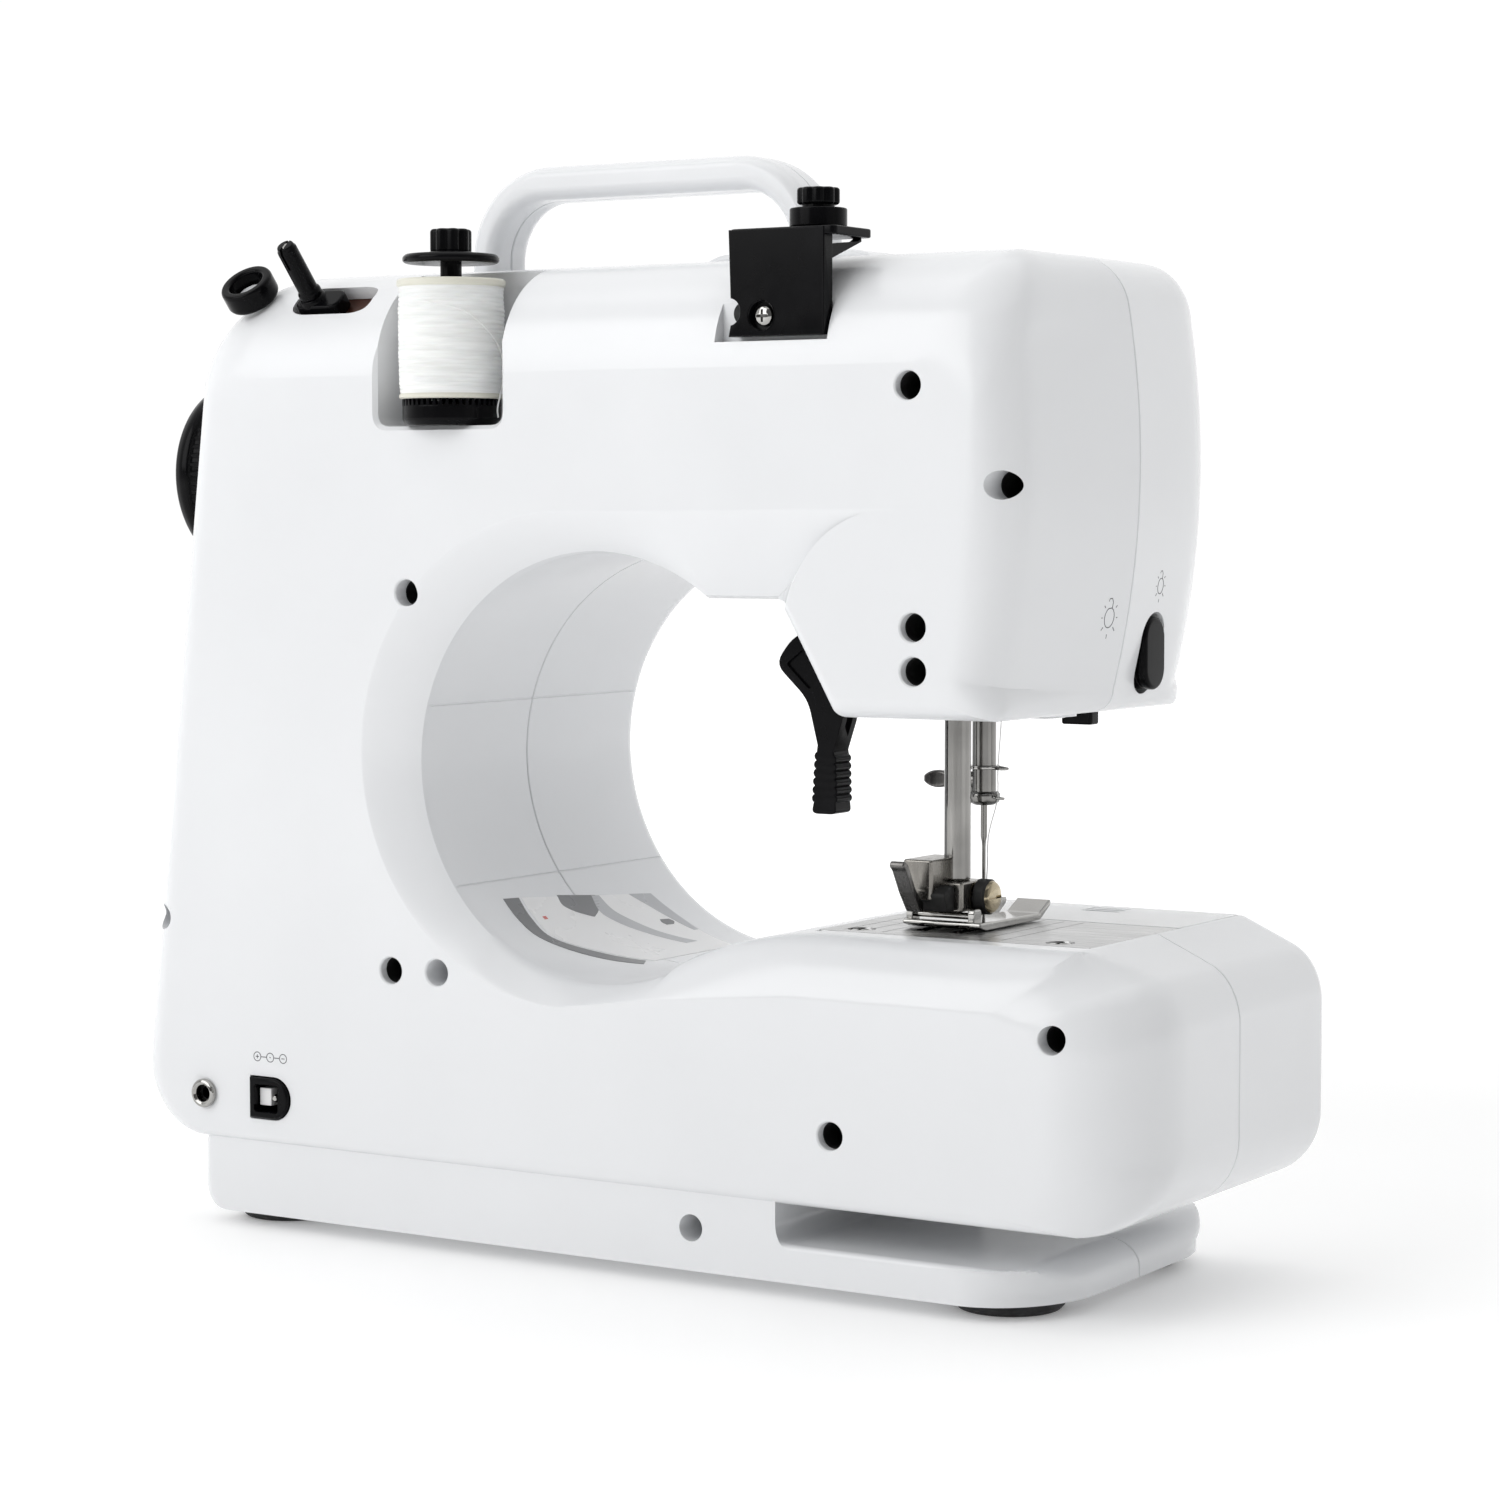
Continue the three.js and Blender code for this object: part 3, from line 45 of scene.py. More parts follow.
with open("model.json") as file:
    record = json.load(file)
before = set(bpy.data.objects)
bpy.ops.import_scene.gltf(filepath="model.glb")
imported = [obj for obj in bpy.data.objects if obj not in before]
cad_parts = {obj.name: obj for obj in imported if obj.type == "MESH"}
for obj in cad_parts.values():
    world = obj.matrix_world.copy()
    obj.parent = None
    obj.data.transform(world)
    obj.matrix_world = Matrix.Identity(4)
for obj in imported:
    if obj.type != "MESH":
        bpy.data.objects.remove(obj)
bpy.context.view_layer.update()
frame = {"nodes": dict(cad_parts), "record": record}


# ---------- camera, light and floor ----------


def add_camera():
    data = bpy.data.cameras.new("camera")
    data.lens = CAMERA_LENS
    data.sensor_width = 36
    camera = bpy.data.objects.new("camera", data)
    camera.location = CAMERA_PLACE
    camera.rotation_euler = Vector(CAMERA_WAY).to_track_quat("-Z", "Y").to_euler()
    bpy.context.collection.objects.link(camera)
    bpy.context.scene.camera = camera


def area_light(name, place, target, size, watts):
    data = bpy.data.lights.new(name, "AREA")
    data.shape = "RECTANGLE"
    data.size, data.size_y = size
    data.energy = watts
    light = bpy.data.objects.new(name, data)
    light.location = place
    light.rotation_euler = (Vector(target) - Vector(place)).to_track_quat("-Z", "Y").to_euler()
    bpy.context.collection.objects.link(light)


def add_stage():
    """A white backdrop behind the machine, a dimmer room on the viewer's side, and softboxes."""
    world = bpy.data.worlds.new("studio")
    world.use_nodes = True
    tree = world.node_tree
    background = tree.nodes["Background"]
    place = tree.nodes.new("ShaderNodeTexCoord")
    along = tree.nodes.new("ShaderNodeVectorMath")
    along.operation = "DOT_PRODUCT"
    along.inputs[1].default_value = BACKDROP_WAY
    fade = tree.nodes.new("ShaderNodeMapRange")
    for field, value in (("From Min", -0.5), ("From Max", 0.3), ("To Min", ROOM_LIGHT),
                         ("To Max", BACKDROP_LIGHT)):
        fade.inputs[field].default_value = value
    tree.links.new(place.outputs["Generated"], along.inputs[0])
    tree.links.new(along.outputs["Value"], fade.inputs["Value"])
    tree.links.new(fade.outputs["Result"], background.inputs["Strength"])
    background.inputs["Color"].default_value = (1, 1, 1, 1)
    bpy.context.scene.world = world
    bpy.context.scene.view_settings.view_transform = "Standard"
    middle = (0, 0, 0.12)
    area_light("top_softbox", (-0.1, 0.1, 1.1), middle, (1.2, 1.2), 3.1)
    area_light("side_softbox", (-1.2, 0.15, 0.45), middle, (0.8, 1.0), 0.9)
    area_light("back_softbox", (0.6, 1.3, 0.9), middle, (1.2, 1.2), 12.2)
    floor = grid_sheet("floor", [[(x, y, 0) for y in (-3000, 3000)] for x in (-3000, 3000)])
    floor.data.materials.append(floor_paint())


# ---------- materials ----------


class Shader:
    """A Principled material whose nodes are added by name."""

    def __init__(self, name):
        self.material = bpy.data.materials.new(name)
        self.material.use_nodes = True
        self.tree = self.material.node_tree
        self.main = self.tree.nodes["Principled BSDF"]
        self.place = self.node("ShaderNodeTexCoord").outputs["Object"]

    def node(self, kind, **settings):
        made = self.tree.nodes.new(kind)
        for key, value in settings.items():
            setattr(made, key, value)
        return made

    def join(self, output, target):
        self.tree.links.new(output, target)

    def feed(self, field, output):
        """Drives one field of the material."""
        self.join(output, self.main.inputs[field])

    def set(self, **values):
        for key, value in values.items():
            self.main.inputs[key.replace("_", " ")].default_value = value

    def grain(self, scale, detail=3, stretch=(1, 1, 1), distort=0.0):
        """Noise in the object's own space. scale is in waves per metre."""
        mapping = self.node("ShaderNodeMapping")
        mapping.inputs["Scale"].default_value = stretch
        self.join(self.place, mapping.inputs["Vector"])
        texture = self.node("ShaderNodeTexNoise")
        texture.inputs["Scale"].default_value = scale
        texture.inputs["Detail"].default_value = detail
        texture.inputs["Distortion"].default_value = distort
        self.join(mapping.outputs["Vector"], texture.inputs["Vector"])
        return texture.outputs["Fac"]

    def ranged(self, value, low, high, start=0.3, end=0.7):
        ramp = self.node("ShaderNodeMapRange")
        ramp.inputs["From Min"].default_value = start
        ramp.inputs["From Max"].default_value = end
        ramp.inputs["To Min"].default_value = low
        ramp.inputs["To Max"].default_value = high
        self.join(value, ramp.inputs["Value"])
        return ramp.outputs["Result"]

    def blend(self, value, first, second):
        mix = self.node("ShaderNodeMix", data_type="RGBA")
        self.join(value, mix.inputs["Factor"])
        mix.inputs["A"].default_value = (*first, 1)
        mix.inputs["B"].default_value = (*second, 1)
        return mix.outputs["Result"]

    def bump(self, heights, strength, depth):
        """Stacks bump maps: heights is a list of outputs, depth is in metres."""
        normal = None
        for height in heights:
            made = self.node("ShaderNodeBump")
            made.inputs["Strength"].default_value = strength
            made.inputs["Distance"].default_value = depth
            self.join(height, made.inputs["Height"])
            if normal is not None:
                self.join(normal, made.inputs["Normal"])
            normal = made.outputs["Normal"]
        self.feed("Normal", normal)


def scaled(color, factor):
    return tuple(min(1.0, c * factor) for c in color)


def plastic(name, color, roughness, texture=0.00002, variation=0.03):
    """Moulded plastic: a trace of orange peel, uneven gloss and a little colour drift."""
    s = Shader(name)
    drift = s.ranged(s.grain(18), 0, 1)
    s.feed("Base Color", s.blend(drift, scaled(color, 1 - variation), color))
    s.feed("Roughness", s.ranged(s.grain(45, 4), roughness * 0.85, roughness * 1.2))
    s.bump([s.grain(700, 2), s.grain(120, 2)], 0.12, texture)
    s.set(IOR=1.5)
    return s.material


def black_gloss(name, color=(0.0025, 0.0025, 0.003), roughness=0.2):
    """Black moulding with uneven gloss, faint rubbed patches and a little orange peel."""
    s = Shader(name)
    rubbed = s.ranged(s.grain(75, 4), 0, 1, 0.5, 0.75)
    s.feed("Base Color", s.blend(rubbed, color, scaled(color, 1.8)))
    s.feed("Roughness", s.ranged(s.grain(160, 4), roughness * 0.85, roughness * 1.3))
    s.bump([s.grain(260, 2)], 0.1, 0.00001)
    s.set(Specular_IOR_Level=0.09)
    return s.material


def metal(name, color, roughness, stretch, variation=0.1, depth=0.000015):
    """Plated or ground steel with fine marks drawn out along one direction."""
    s = Shader(name)
    marks = s.grain(900, 4, stretch=stretch)
    stain = s.ranged(s.grain(90, 4), 0, 1)
    s.feed("Base Color", s.blend(stain, scaled(color, 1 - variation), color))
    s.feed("Roughness", s.ranged(marks, roughness * 0.75, roughness * 1.35))
    s.bump([marks], 0.1, depth)
    s.set(Metallic=1.0)
    return s.material


def rubber(name, color=(0.016, 0.016, 0.017)):
    s = Shader(name)
    dust = s.ranged(s.grain(140, 5), 0, 1, 0.45, 0.8)
    s.feed("Base Color", s.blend(dust, color, scaled(color, 2.4)))
    s.feed("Roughness", s.ranged(s.grain(400, 3), 0.55, 0.8))
    s.bump([s.grain(1400, 3)], 0.4, 0.00004)
    return s.material


def thread_fibre(name):
    """Sewing thread: silky white fibres with soft shading between them."""
    s = Shader(name)
    fibre = s.grain(900, 2, stretch=(0.1, 0.1, 1))
    s.feed("Base Color", s.blend(s.ranged(fibre, 0, 1), (0.80, 0.80, 0.785), (0.92, 0.92, 0.91)))
    s.feed("Roughness", s.ranged(fibre, 0.5, 0.7))
    s.bump([fibre], 0.1, 0.00002)
    s.set(Sheen_Weight=0.3, Sheen_Roughness=0.4, Subsurface_Weight=0.05)
    return s.material


def clear_plastic(name):
    s = Shader(name)
    s.feed("Roughness", s.ranged(s.grain(60, 3), 0.06, 0.16))
    s.feed("Base Color", s.blend(s.ranged(s.grain(30), 0, 1), (0.86, 0.88, 0.9), (0.93, 0.94, 0.95)))
    s.bump([s.grain(500, 2)], 0.1, 0.00002)
    s.set(Transmission_Weight=0.6, IOR=1.49)
    return s.material


def circuit_board(name):
    s = Shader(name)
    tracks = s.node("ShaderNodeTexBrick")
    tracks.inputs["Scale"].default_value = 260
    tracks.inputs["Mortar Size"].default_value = 0.04
    s.join(s.place, tracks.inputs["Vector"])
    s.feed("Base Color", s.blend(tracks.outputs["Fac"], (0.01, 0.12, 0.05), (0.03, 0.24, 0.1)))
    s.feed("Roughness", s.ranged(s.grain(300), 0.3, 0.5))
    s.bump([tracks.outputs["Fac"]], 0.3, 0.00005)
    return s.material


def floor_paint():
    s = Shader("studio_floor")
    s.feed("Base Color", s.blend(s.ranged(s.grain(3), 0, 1), (0.88, 0.88, 0.88), (0.9, 0.9, 0.9)))
    s.set(Roughness=0.6, Emission_Color=(1, 1, 1, 1))
    reach = s.node("ShaderNodeVectorMath", operation="LENGTH")
    s.join(s.place, reach.inputs[0])
    s.feed("Emission Strength", s.ranged(reach.outputs["Value"], *FLOOR_GLOW, 0.3, 1.4))
    return s.material


# ---------- mesh helpers ----------

AXES = {"x": (1, 2, 0), "y": (0, 2, 1), "z": (0, 1, 2)}


def spot(along, u, v, w):
    """The point whose coordinate along an axis is w and whose other two are u and v."""
    point = [0.0, 0.0, 0.0]
    for index, value in zip(AXES[along], (u, v, w)):
        point[index] = value
    return tuple(point)


def mesh_object(name, points, faces):
    """A linked object from points in millimetres, with its faces turned outwards."""
    mesh = bpy.data.meshes.new(name)
    mesh.from_pydata([Vector(p) * MM for p in points], [], faces)
    made = bmesh.new()
    made.from_mesh(mesh)
    bmesh.ops.remove_doubles(made, verts=made.verts, dist=1e-7)
    bmesh.ops.recalc_face_normals(made, faces=made.faces)
    made.to_mesh(mesh)
    made.free()
    piece = bpy.data.objects.new(name, mesh)
    bpy.context.collection.objects.link(piece)
    return piece


def grid_sheet(name, rows):
    """An open sheet through rows of points."""
    points = [p for row in rows for p in row]
    width = len(rows[0])
    faces = [
        (r * width + c, r * width + c + 1, (r + 1) * width + c + 1, (r + 1) * width + c)
        for r in range(len(rows) - 1)
        for c in range(width - 1)
    ]
    return mesh_object(name, points, faces)


def skin(name, rings, closed_ends=True):
    """A closed body through rings of points, with a lid on each end ring."""
    points = [p for row in rings for p in row]
    n = len(rings[0])
    faces = []
    for r in range(len(rings) - 1):
        for i in range(n):
            j = (i + 1) % n
            faces.append((r * n + i, r * n + j, (r + 1) * n + j, (r + 1) * n + i))
    if closed_ends:
        for r in (0, len(rings) - 1):
            flat = [[Vector(p) for p in rings[r]]]
            faces += [tuple(r * n + k for k in corner) for corner in tessellate_polygon(flat)]
    return mesh_object(name, points, faces)


def prism(name, outline, along, start, end):
    return skin(name, [[spot(along, u, v, w) for u, v in outline] for w in (start, end)])


def circle(u, v, r, sides=48):
    return [(u + r * cos(tau * i / sides), v + r * sin(tau * i / sides)) for i in range(sides)]


def polar(u, v, r, degrees):
    return (u + r * cos(radians(degrees)), v + r * sin(radians(degrees)))


def rod(name, along, u, v, r, start, end, sides=48):
    return prism(name, circle(u, v, r, sides), along, start, end)


def block(name, low, high):
    (x0, y0, z0), (x1, y1, z1) = low, high
    return prism(name, [(x0, y0), (x1, y0), (x1, y1), (x0, y1)], "z", z0, z1)


def turned(name, profile, along, u, v, sides=64):
    """A body of revolution. Its profile of [radius, height] starts and ends on the axis, or is closed."""
    on_axis = profile[0][0] == 0
    rings = [[spot(along, *circle(u, v, max(r, 1e-4), sides)[i], h) for i in range(sides)] for r,
             h in profile]
    if not on_axis:
        return loop_skin(name, rings + [rings[0]])
    return skin(name, rings)


def loop_skin(name, rings):
    return skin(name, rings, closed_ends=False)


def hoop(name, profile, along, u, v, sides=64):
    """A body of revolution whose profile closes on itself."""
    return turned(name, profile + profile[:1], along, u, v, sides)


def tube(name, path, r, sides=10):
    """A round bar along a smooth path of points."""
    points = [Vector(p) for p in path]
    rings = []
    side = Vector((0, 0, 1))
    for i, point in enumerate(points):
        ahead = (points[min(i + 1, len(points) - 1)] - points[max(i - 1, 0)]).normalized()
        if abs(ahead.dot(side)) > 0.95:
            side = Vector((1, 0, 0)) if abs(ahead.x) < 0.9 else Vector((0, 1, 0))
        across = (side - ahead * side.dot(ahead)).normalized()
        other = ahead.cross(across)
        side = across
        turns = [tau * k / sides for k in range(sides)]
        rings.append([tuple(point + (across * cos(turn) + other * sin(turn)) * r) for turn in turns])
    return skin(name, rings)


def smooth_path(corners, steps=8):
    """A Catmull-Rom curve through the corners."""
    pts = [Vector(c) for c in corners]
    pts = [pts[0] * 2 - pts[1], *pts, pts[-1] * 2 - pts[-2]]
    path = []
    for i in range(1, len(pts) - 2):
        for k in range(steps):
            t = k / steps
            a, b, c, d = pts[i - 1 : i + 3]
            square, cube = 2 * a - 5 * b + 4 * c - d, 3 * b - a - 3 * c + d
            path.append(0.5 * ((2 * b) + (c - a) * t + square * t**2 + cube * t**3))
    path.append(pts[-2])
    return path


def apply_modifiers(piece):
    graph = bpy.context.evaluated_depsgraph_get()
    done = bpy.data.meshes.new_from_object(piece.evaluated_get(graph))
    piece.modifiers.clear()
    piece.data = done
    return piece


def combine(piece, tools, operation, solver="MANIFOLD"):
    """Joins solids to a piece, or cuts them out of it, and removes them."""
    for tool in tools:
        change = piece.modifiers.new("combine", "BOOLEAN")
        change.operation = operation
        change.solver = solver
        change.object = tool
    apply_modifiers(piece)
    for tool in tools:
        bpy.data.objects.remove(tool)
    return piece


def cut(piece, *tools):
    return combine(piece, tools, "DIFFERENCE")


def joined(piece, *tools):
    return combine(piece, tools, "UNION")


def common(piece, other):
    """What two solids share; the other solid stays as it is."""
    twin = bpy.data.objects.new("twin", other.data.copy())
    bpy.context.collection.objects.link(twin)
    return combine(piece, [twin], "INTERSECT")


def shaded(piece, angle=32):
    """Smooth shading that keeps real corners and lets large flats stay flat."""
    mesh = piece.data
    mesh.polygons.foreach_set("use_smooth", [True] * len(mesh.polygons))
    mesh.set_sharp_from_angle(angle=radians(angle))
    weight = piece.modifiers.new("weight", "WEIGHTED_NORMAL")
    weight.keep_sharp = True
    weight.mode = "FACE_AREA_WITH_ANGLE"
    return apply_modifiers(piece)


def finished(piece, body, material, slot, *nodes, angle=32):
    """Shades a piece, gives it its material and ties it to the frame."""
    shaded(piece, angle)
    piece.data.materials.clear()
    piece.data.materials.append(material)
    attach(piece, body)
    if nodes:
        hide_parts(*nodes)
    return piece


def middle(node):
    low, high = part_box(node)
    return [(a + b) / 2 / MM for a, b in zip(low, high)]


def limits(node):
    low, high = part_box(node)
    return [c / MM for c in low], [c / MM for c in high]


# ---------- outlines of the covers ----------

GAP, WALL = 0.3, 2.4
SEAM, BACK, FRONT = 5, 54, -45
TOP, CEILING, HEAD_BOTTOM = 231.5, 155.3, 129.8
ARM_TOP, ARM_BOTTOM, ARM_END = 81, 21, -143
BASE_BOTTOM, FOOT_PLATE_TOP = 3.5, 12
THROAT = (-1, 115.6, 49.7)
RIM = (5.3, 117.8, 56.8)
RIM_TOP, RIM_BOTTOM = RIM[1] + RIM[2], RIM[1] - RIM[2]
SIDE_LEAN = 6.6


def line(x0, z0, x1, z1):
    return lambda t: (x0 + (x1 - x0) * t, z0 + (z1 - z0) * t)


def arc(x, z, rx, rz, start, end):
    def at(t):
        angle = radians(start + (end - start) * t)
        return (x + rx * cos(angle), z + rz * sin(angle))

    return at


def bow(x0, z0, x1, z1, rise):
    """From one point to another, bulging to the left by the rise."""
    length = hypot(x1 - x0, z1 - z0)
    out = (-(z1 - z0) / length, (x1 - x0) / length)

    def at(t):
        bulge = 4 * rise * t * (1 - t)
        return (x0 + (x1 - x0) * t + out[0] * bulge, z0 + (z1 - z0) * t + out[1] * bulge)

    return at


# How an outline passes from its seam shape to its face shape: (depth of the rounding at the face,
# 1 for a bevel or 2 for a round, share of the change spread over the whole depth).
HEM, SIDE, CROWN, BRIM = (3, 2, 0), (8, 2, 0), (25, 2, 0), (18, 2, 0)
HEAD_END, HEAD_FRONT = (11, 2, 0.44), (24, 2, 0)
BEVEL, ARM_EDGE, ARM_NOSE, ARM_FRONT = (7, 1.15, 0), (10, 1.4, 0), (23, 2, 0), (6, 2, 0)
LIP, UNDERSIDE, CHEEK, CORNER = (4, 2, 0), (6, 2, 0), (8, 2, 0), (5, 2, 0)


def body_stretches():
    """Seam curve, rear-face curve, front-face curve, rear easing, front easing, points, points inside."""
    x, z, r = THROAT
    rx, rz, rr = RIM
    return [
        (arc(112, 40, 20.5, 18.7, -90, 0), arc(112, 40, 12.5, 17.2, -90, 0), arc(112, 40, 12.5, 15, -90, 0),
         (HEM, SIDE), (HEM, SIDE), 14, 3),
        (line(132.5, 40, 113, 207.6), line(124.5, 40, 106.1, 197.6), line(124.5, 40, 105.5, 202.9),
         (SIDE, SIDE), (SIDE, SIDE), 12, 1),
        (arc(86.2, 204.5, 27, 27, SIDE_LEAN, 90), arc(96.2, 196.5, 10, 10, SIDE_LEAN, 90),
         arc(93.6, 201.5, 12, 12, SIDE_LEAN, 90), (SIDE, CROWN), (SIDE, BRIM), 16, 3),
        (line(86.2, TOP, -101, TOP), line(96.2, TOP - 25, -88, TOP - 25), line(93.6, TOP - 18, -88, TOP - 18),
         (CROWN, CROWN), (BRIM, BRIM), 20, 1),
        (arc(-101, TOP - 14, 14, 14, 90, 172), arc(-88, TOP - 38, 13, 13, 90, 180),
         arc(-84, TOP - 28, 10, 10, 90, 180), (CROWN, HEAD_END), (BRIM, HEAD_FRONT), 18, 2),
        (bow(-114.87, 219.45, -111.5, 135, -4.5), bow(-101, 193.5, -96, 140, -0.8),
         bow(-94, 203.5, -89, 145, -1.5),
         (HEAD_END, HEAD_END), (HEAD_FRONT, HEAD_FRONT), 18, 3),
        (arc(-105.5, 135, 6, 5.2, 180, 270), arc(-92, 140, 4, 6, 180, 270), arc(-84, 145, 5, 6, 180, 270),
         (HEAD_END, UNDERSIDE), (HEAD_FRONT, CHEEK), 10, 1),
        (line(-105.5, HEAD_BOTTOM, -69.5, HEAD_BOTTOM), line(-92, 134, -69.8, 134),
         line(-84, 139, -70.5, 139),
         (UNDERSIDE, LIP), (CHEEK, LIP), 6, 1),
        (arc(-69.5, HEAD_BOTTOM + 3, 3, 3, 270, 329.3), arc(-69.8, 136, 2, 2, 270, 329.3),
         arc(-70.5, 141, 2, 2, 270, 329.3), (LIP, HEM), (LIP, HEM), 6, 1),
        (line(-66.92, 131.27, -54.36, 152.36), line(-68.08, 134.98, -56.3, 154.8),
         line(-68.78, 139.98, -58.6, 157.1),
         (HEM, CORNER), (HEM, HEM), 6, 1),
        (arc(-49.2, CEILING - 6, 6, 6, 149.3, 90), bow(-56.3, 154.8, -76, RIM_TOP, -4),
         arc(-50, 152.5, 9.8, 9.8, 152, 90), (CORNER, BEVEL), (HEM, ARM_FRONT), 12, 2),
        (line(-49.2, CEILING, -31, CEILING), line(-76, RIM_TOP, -27, RIM_TOP), line(-50, 162.3, -31, 162.3),
         (BEVEL, BEVEL), (ARM_FRONT, ARM_FRONT), 6, 1),
        (arc(x, z, r, r, 127, 90), line(-27, RIM_TOP, rx, RIM_TOP), arc(x, z, r + 7, r + 7, 124.2, 90),
         (BEVEL, BEVEL), (ARM_FRONT, ARM_FRONT), 14, 3),
        (arc(x, z, r, r, 90, -90), arc(rx, rz, rr, rr, 90, -90), arc(x, z, r + 7, r + 7, 90, -90),
         (BEVEL, BEVEL), (ARM_FRONT, ARM_FRONT), 72, 12),
        (arc(x, z, r, r, -90, -116.5), line(rx, RIM_BOTTOM, -20, 64.5), arc(x, z, r + 7, r + 7, -90, -113),
         (BEVEL, BEVEL), (ARM_FRONT, ARM_FRONT), 10, 2),
        (arc(-61.2, ARM_TOP - 86, 86, 86, 63.5, 90), line(-20, 64.5, -56, 67.5),
         arc(-61.2, -12, 87, 87, 64, 90),
         (BEVEL, ARM_EDGE), (ARM_FRONT, ARM_FRONT), 14, 2),
        (line(-61.2, ARM_TOP, -123, ARM_TOP), line(-56, 67.5, -106, 67.5), line(-61.2, 75, -123, 75),
         (ARM_EDGE, ARM_EDGE), (ARM_FRONT, ARM_FRONT), 10, 1),
        (line(-123, ARM_TOP, -135.3, 75.4), line(-106, 67.5, -110, 65.5), line(-123, 75, -131, 72),
         (ARM_EDGE, ARM_NOSE), (ARM_FRONT, ARM_FRONT), 5, 1),
        (arc(-132, 62, 11, 14, 107, 180), arc(-110, 55, 9.5, 10.5, 90, 180), arc(-129, 62, 8, 10.2, 104, 180),
         (ARM_NOSE, ARM_NOSE), (ARM_FRONT, ARM_FRONT), 14, 2),
        (line(ARM_END, 62, ARM_END, 37), line(-119.5, 55, -119.5, 36), line(-137, 62, -137, 37),
         (ARM_NOSE, ARM_NOSE), (ARM_FRONT, ARM_FRONT), 5, 1),
        (arc(-127, 37, 16, 16, 180, 270), arc(-108, 36, 11.5, 12, 180, 270), arc(-127, 37, 10, 10, 180, 270),
         (ARM_NOSE, HEM), (ARM_FRONT, ARM_FRONT), 16, 3),
        (line(-127, ARM_BOTTOM, 112, 21.3), line(-108, 24, 112, 22.8), line(-127, 27, 112, 25),
         (HEM, HEM), (ARM_FRONT, HEM), 24, 1),
    ]


def base_stretches():
    """The base under the column, with the thin plate that reaches under the free arm."""
    hidden, low, plate = ARM_BOTTOM + 4, BASE_BOTTOM, FOOT_PLATE_TOP
    tip, edge = (26, 2, 0), (1.5, 2, 0)
    rows = [
        (line(-119, low, -119, 6), line(-98, low, -98, 6), 3, tip, tip),
        (arc(-110, 6, 9, 6, 180, 90), arc(-91, 6, 7, 5, 180, 90), 10, tip, edge),
        (line(-110, plate, -55.5, plate), line(-91, 11, -56, 11), 6, edge, edge),
        (arc(-55.5, 16.5, 4.5, 4.5, -90, 0), arc(-56, 16.5, 3.5, 5.5, -90, 0), 8, edge, edge),
        (line(-51, 16.5, -51, hidden), line(-52.5, 16.5, -52.5, hidden), 1, edge, edge),
        (line(-51, hidden, 111, hidden), line(-52.5, hidden, 108, hidden), 8, edge, edge),
        (line(111, hidden, 114, 20), line(108, hidden, 110, 20), 1, edge, CORNER),
        (line(114, 20, 114, 10), line(110, 20, 110, 10), 2, CORNER, CORNER),
        (arc(107.5, 10, 6.5, 6.5, 0, -90), arc(105, 10, 5, 6.5, 0, -90), 8, CORNER, edge),
        (line(107.5, low, -119, low), line(105, low, -98, low), 12, edge, edge),
    ]
    return [(seam, face, face, (a, b), (a, b), steps, 1) for seam, face, steps, a, b in rows]


def outline_points(stretches, side, inside=False):
    """Points of a closed outline as (seam point, face point, easing)."""
    points = []
    for seam, rear, front, rear_ease, front_ease, fine, coarse in stretches:
        face = rear if side == "rear" else front
        first, last = rear_ease if side == "rear" else front_ease
        count = coarse if inside else fine
        for i in range(count):
            t = i / count
            points.append((seam(t), face(t), tuple(a + (b - a) * t for a, b in zip(first, last))))
    return points


def area(points):
    pairs = zip(points, points[1:] + points[:1])
    return sum(x * w - u * z for (x, z), (u, w) in pairs) / 2


def inset(points, distance):
    """The outline moved inwards, with mitred corners."""
    turn = distance if area(points) > 0 else -distance

    def normal(a, b):
        length = max(hypot(b[0] - a[0], b[1] - a[1]), 1e-9)
        return (-(b[1] - a[1]) / length, (b[0] - a[0]) / length)

    moved = []
    for i, point in enumerate(points):
        before = normal(points[i - 1], point)
        after = normal(point, points[(i + 1) % len(points)])
        spread = max(1 + before[0] * after[0] + before[1] * after[1], 0.35)
        moved.append(tuple(point[k] + (before[k] + after[k]) / spread * turn for k in (0, 1)))
    return moved


def loft(name, outline, seam_y, face_y, levels, softened=0.0):
    """A solid whose outline eases from its seam shape to its face shape; the seam edge may be softened."""
    depth = abs(face_y - seam_y)
    rings = []
    for level in levels:
        to_face = depth * (1 - level)
        row = []
        for seam, face, (round_depth, power, taper) in outline:
            u = max(0.0, 1 - to_face / round_depth)
            share = taper * level + (1 - taper) * (1 - (1 - u**power) ** (1 / power))
            row.append(tuple(a + (b - a) * share for a, b in zip(seam, face)))
        y = seam_y + (face_y - seam_y) * level
        rings.append([(x, y, z) for x, z in row])
    if softened:
        flat = [(x, z) for x, _, z in rings[0]]
        step = softened if face_y > seam_y else -softened
        rings[0] = [(x, seam_y + step, z) for x, z in flat]
        shrunk = inset(flat, softened)
        rings.insert(0, [(x, seam_y, z) for x, z in shrunk])
    return skin(name, rings)


COVER_FACE = {"rear": (BACK, BACK - 1.3, 1), "front": (FRONT, FRONT + 1.2, -1)}
ROUND_DEPTHS = (26, 23, 20, 17, 14.5, 12, 10, 8, 6.6, 5.4, 4.3, 3.3, 2.5, 1.8, 1.2, 0.7, 0.35, 0.12, 0)


def fine_levels(depth):
    """Rings spread evenly at first, then closer and closer towards the face."""
    even = [depth * k / 4 for k in range(4) if depth * (1 - k / 4) > ROUND_DEPTHS[0] + 2]
    return [w / depth for w in even] + [1 - d / depth for d in ROUND_DEPTHS]


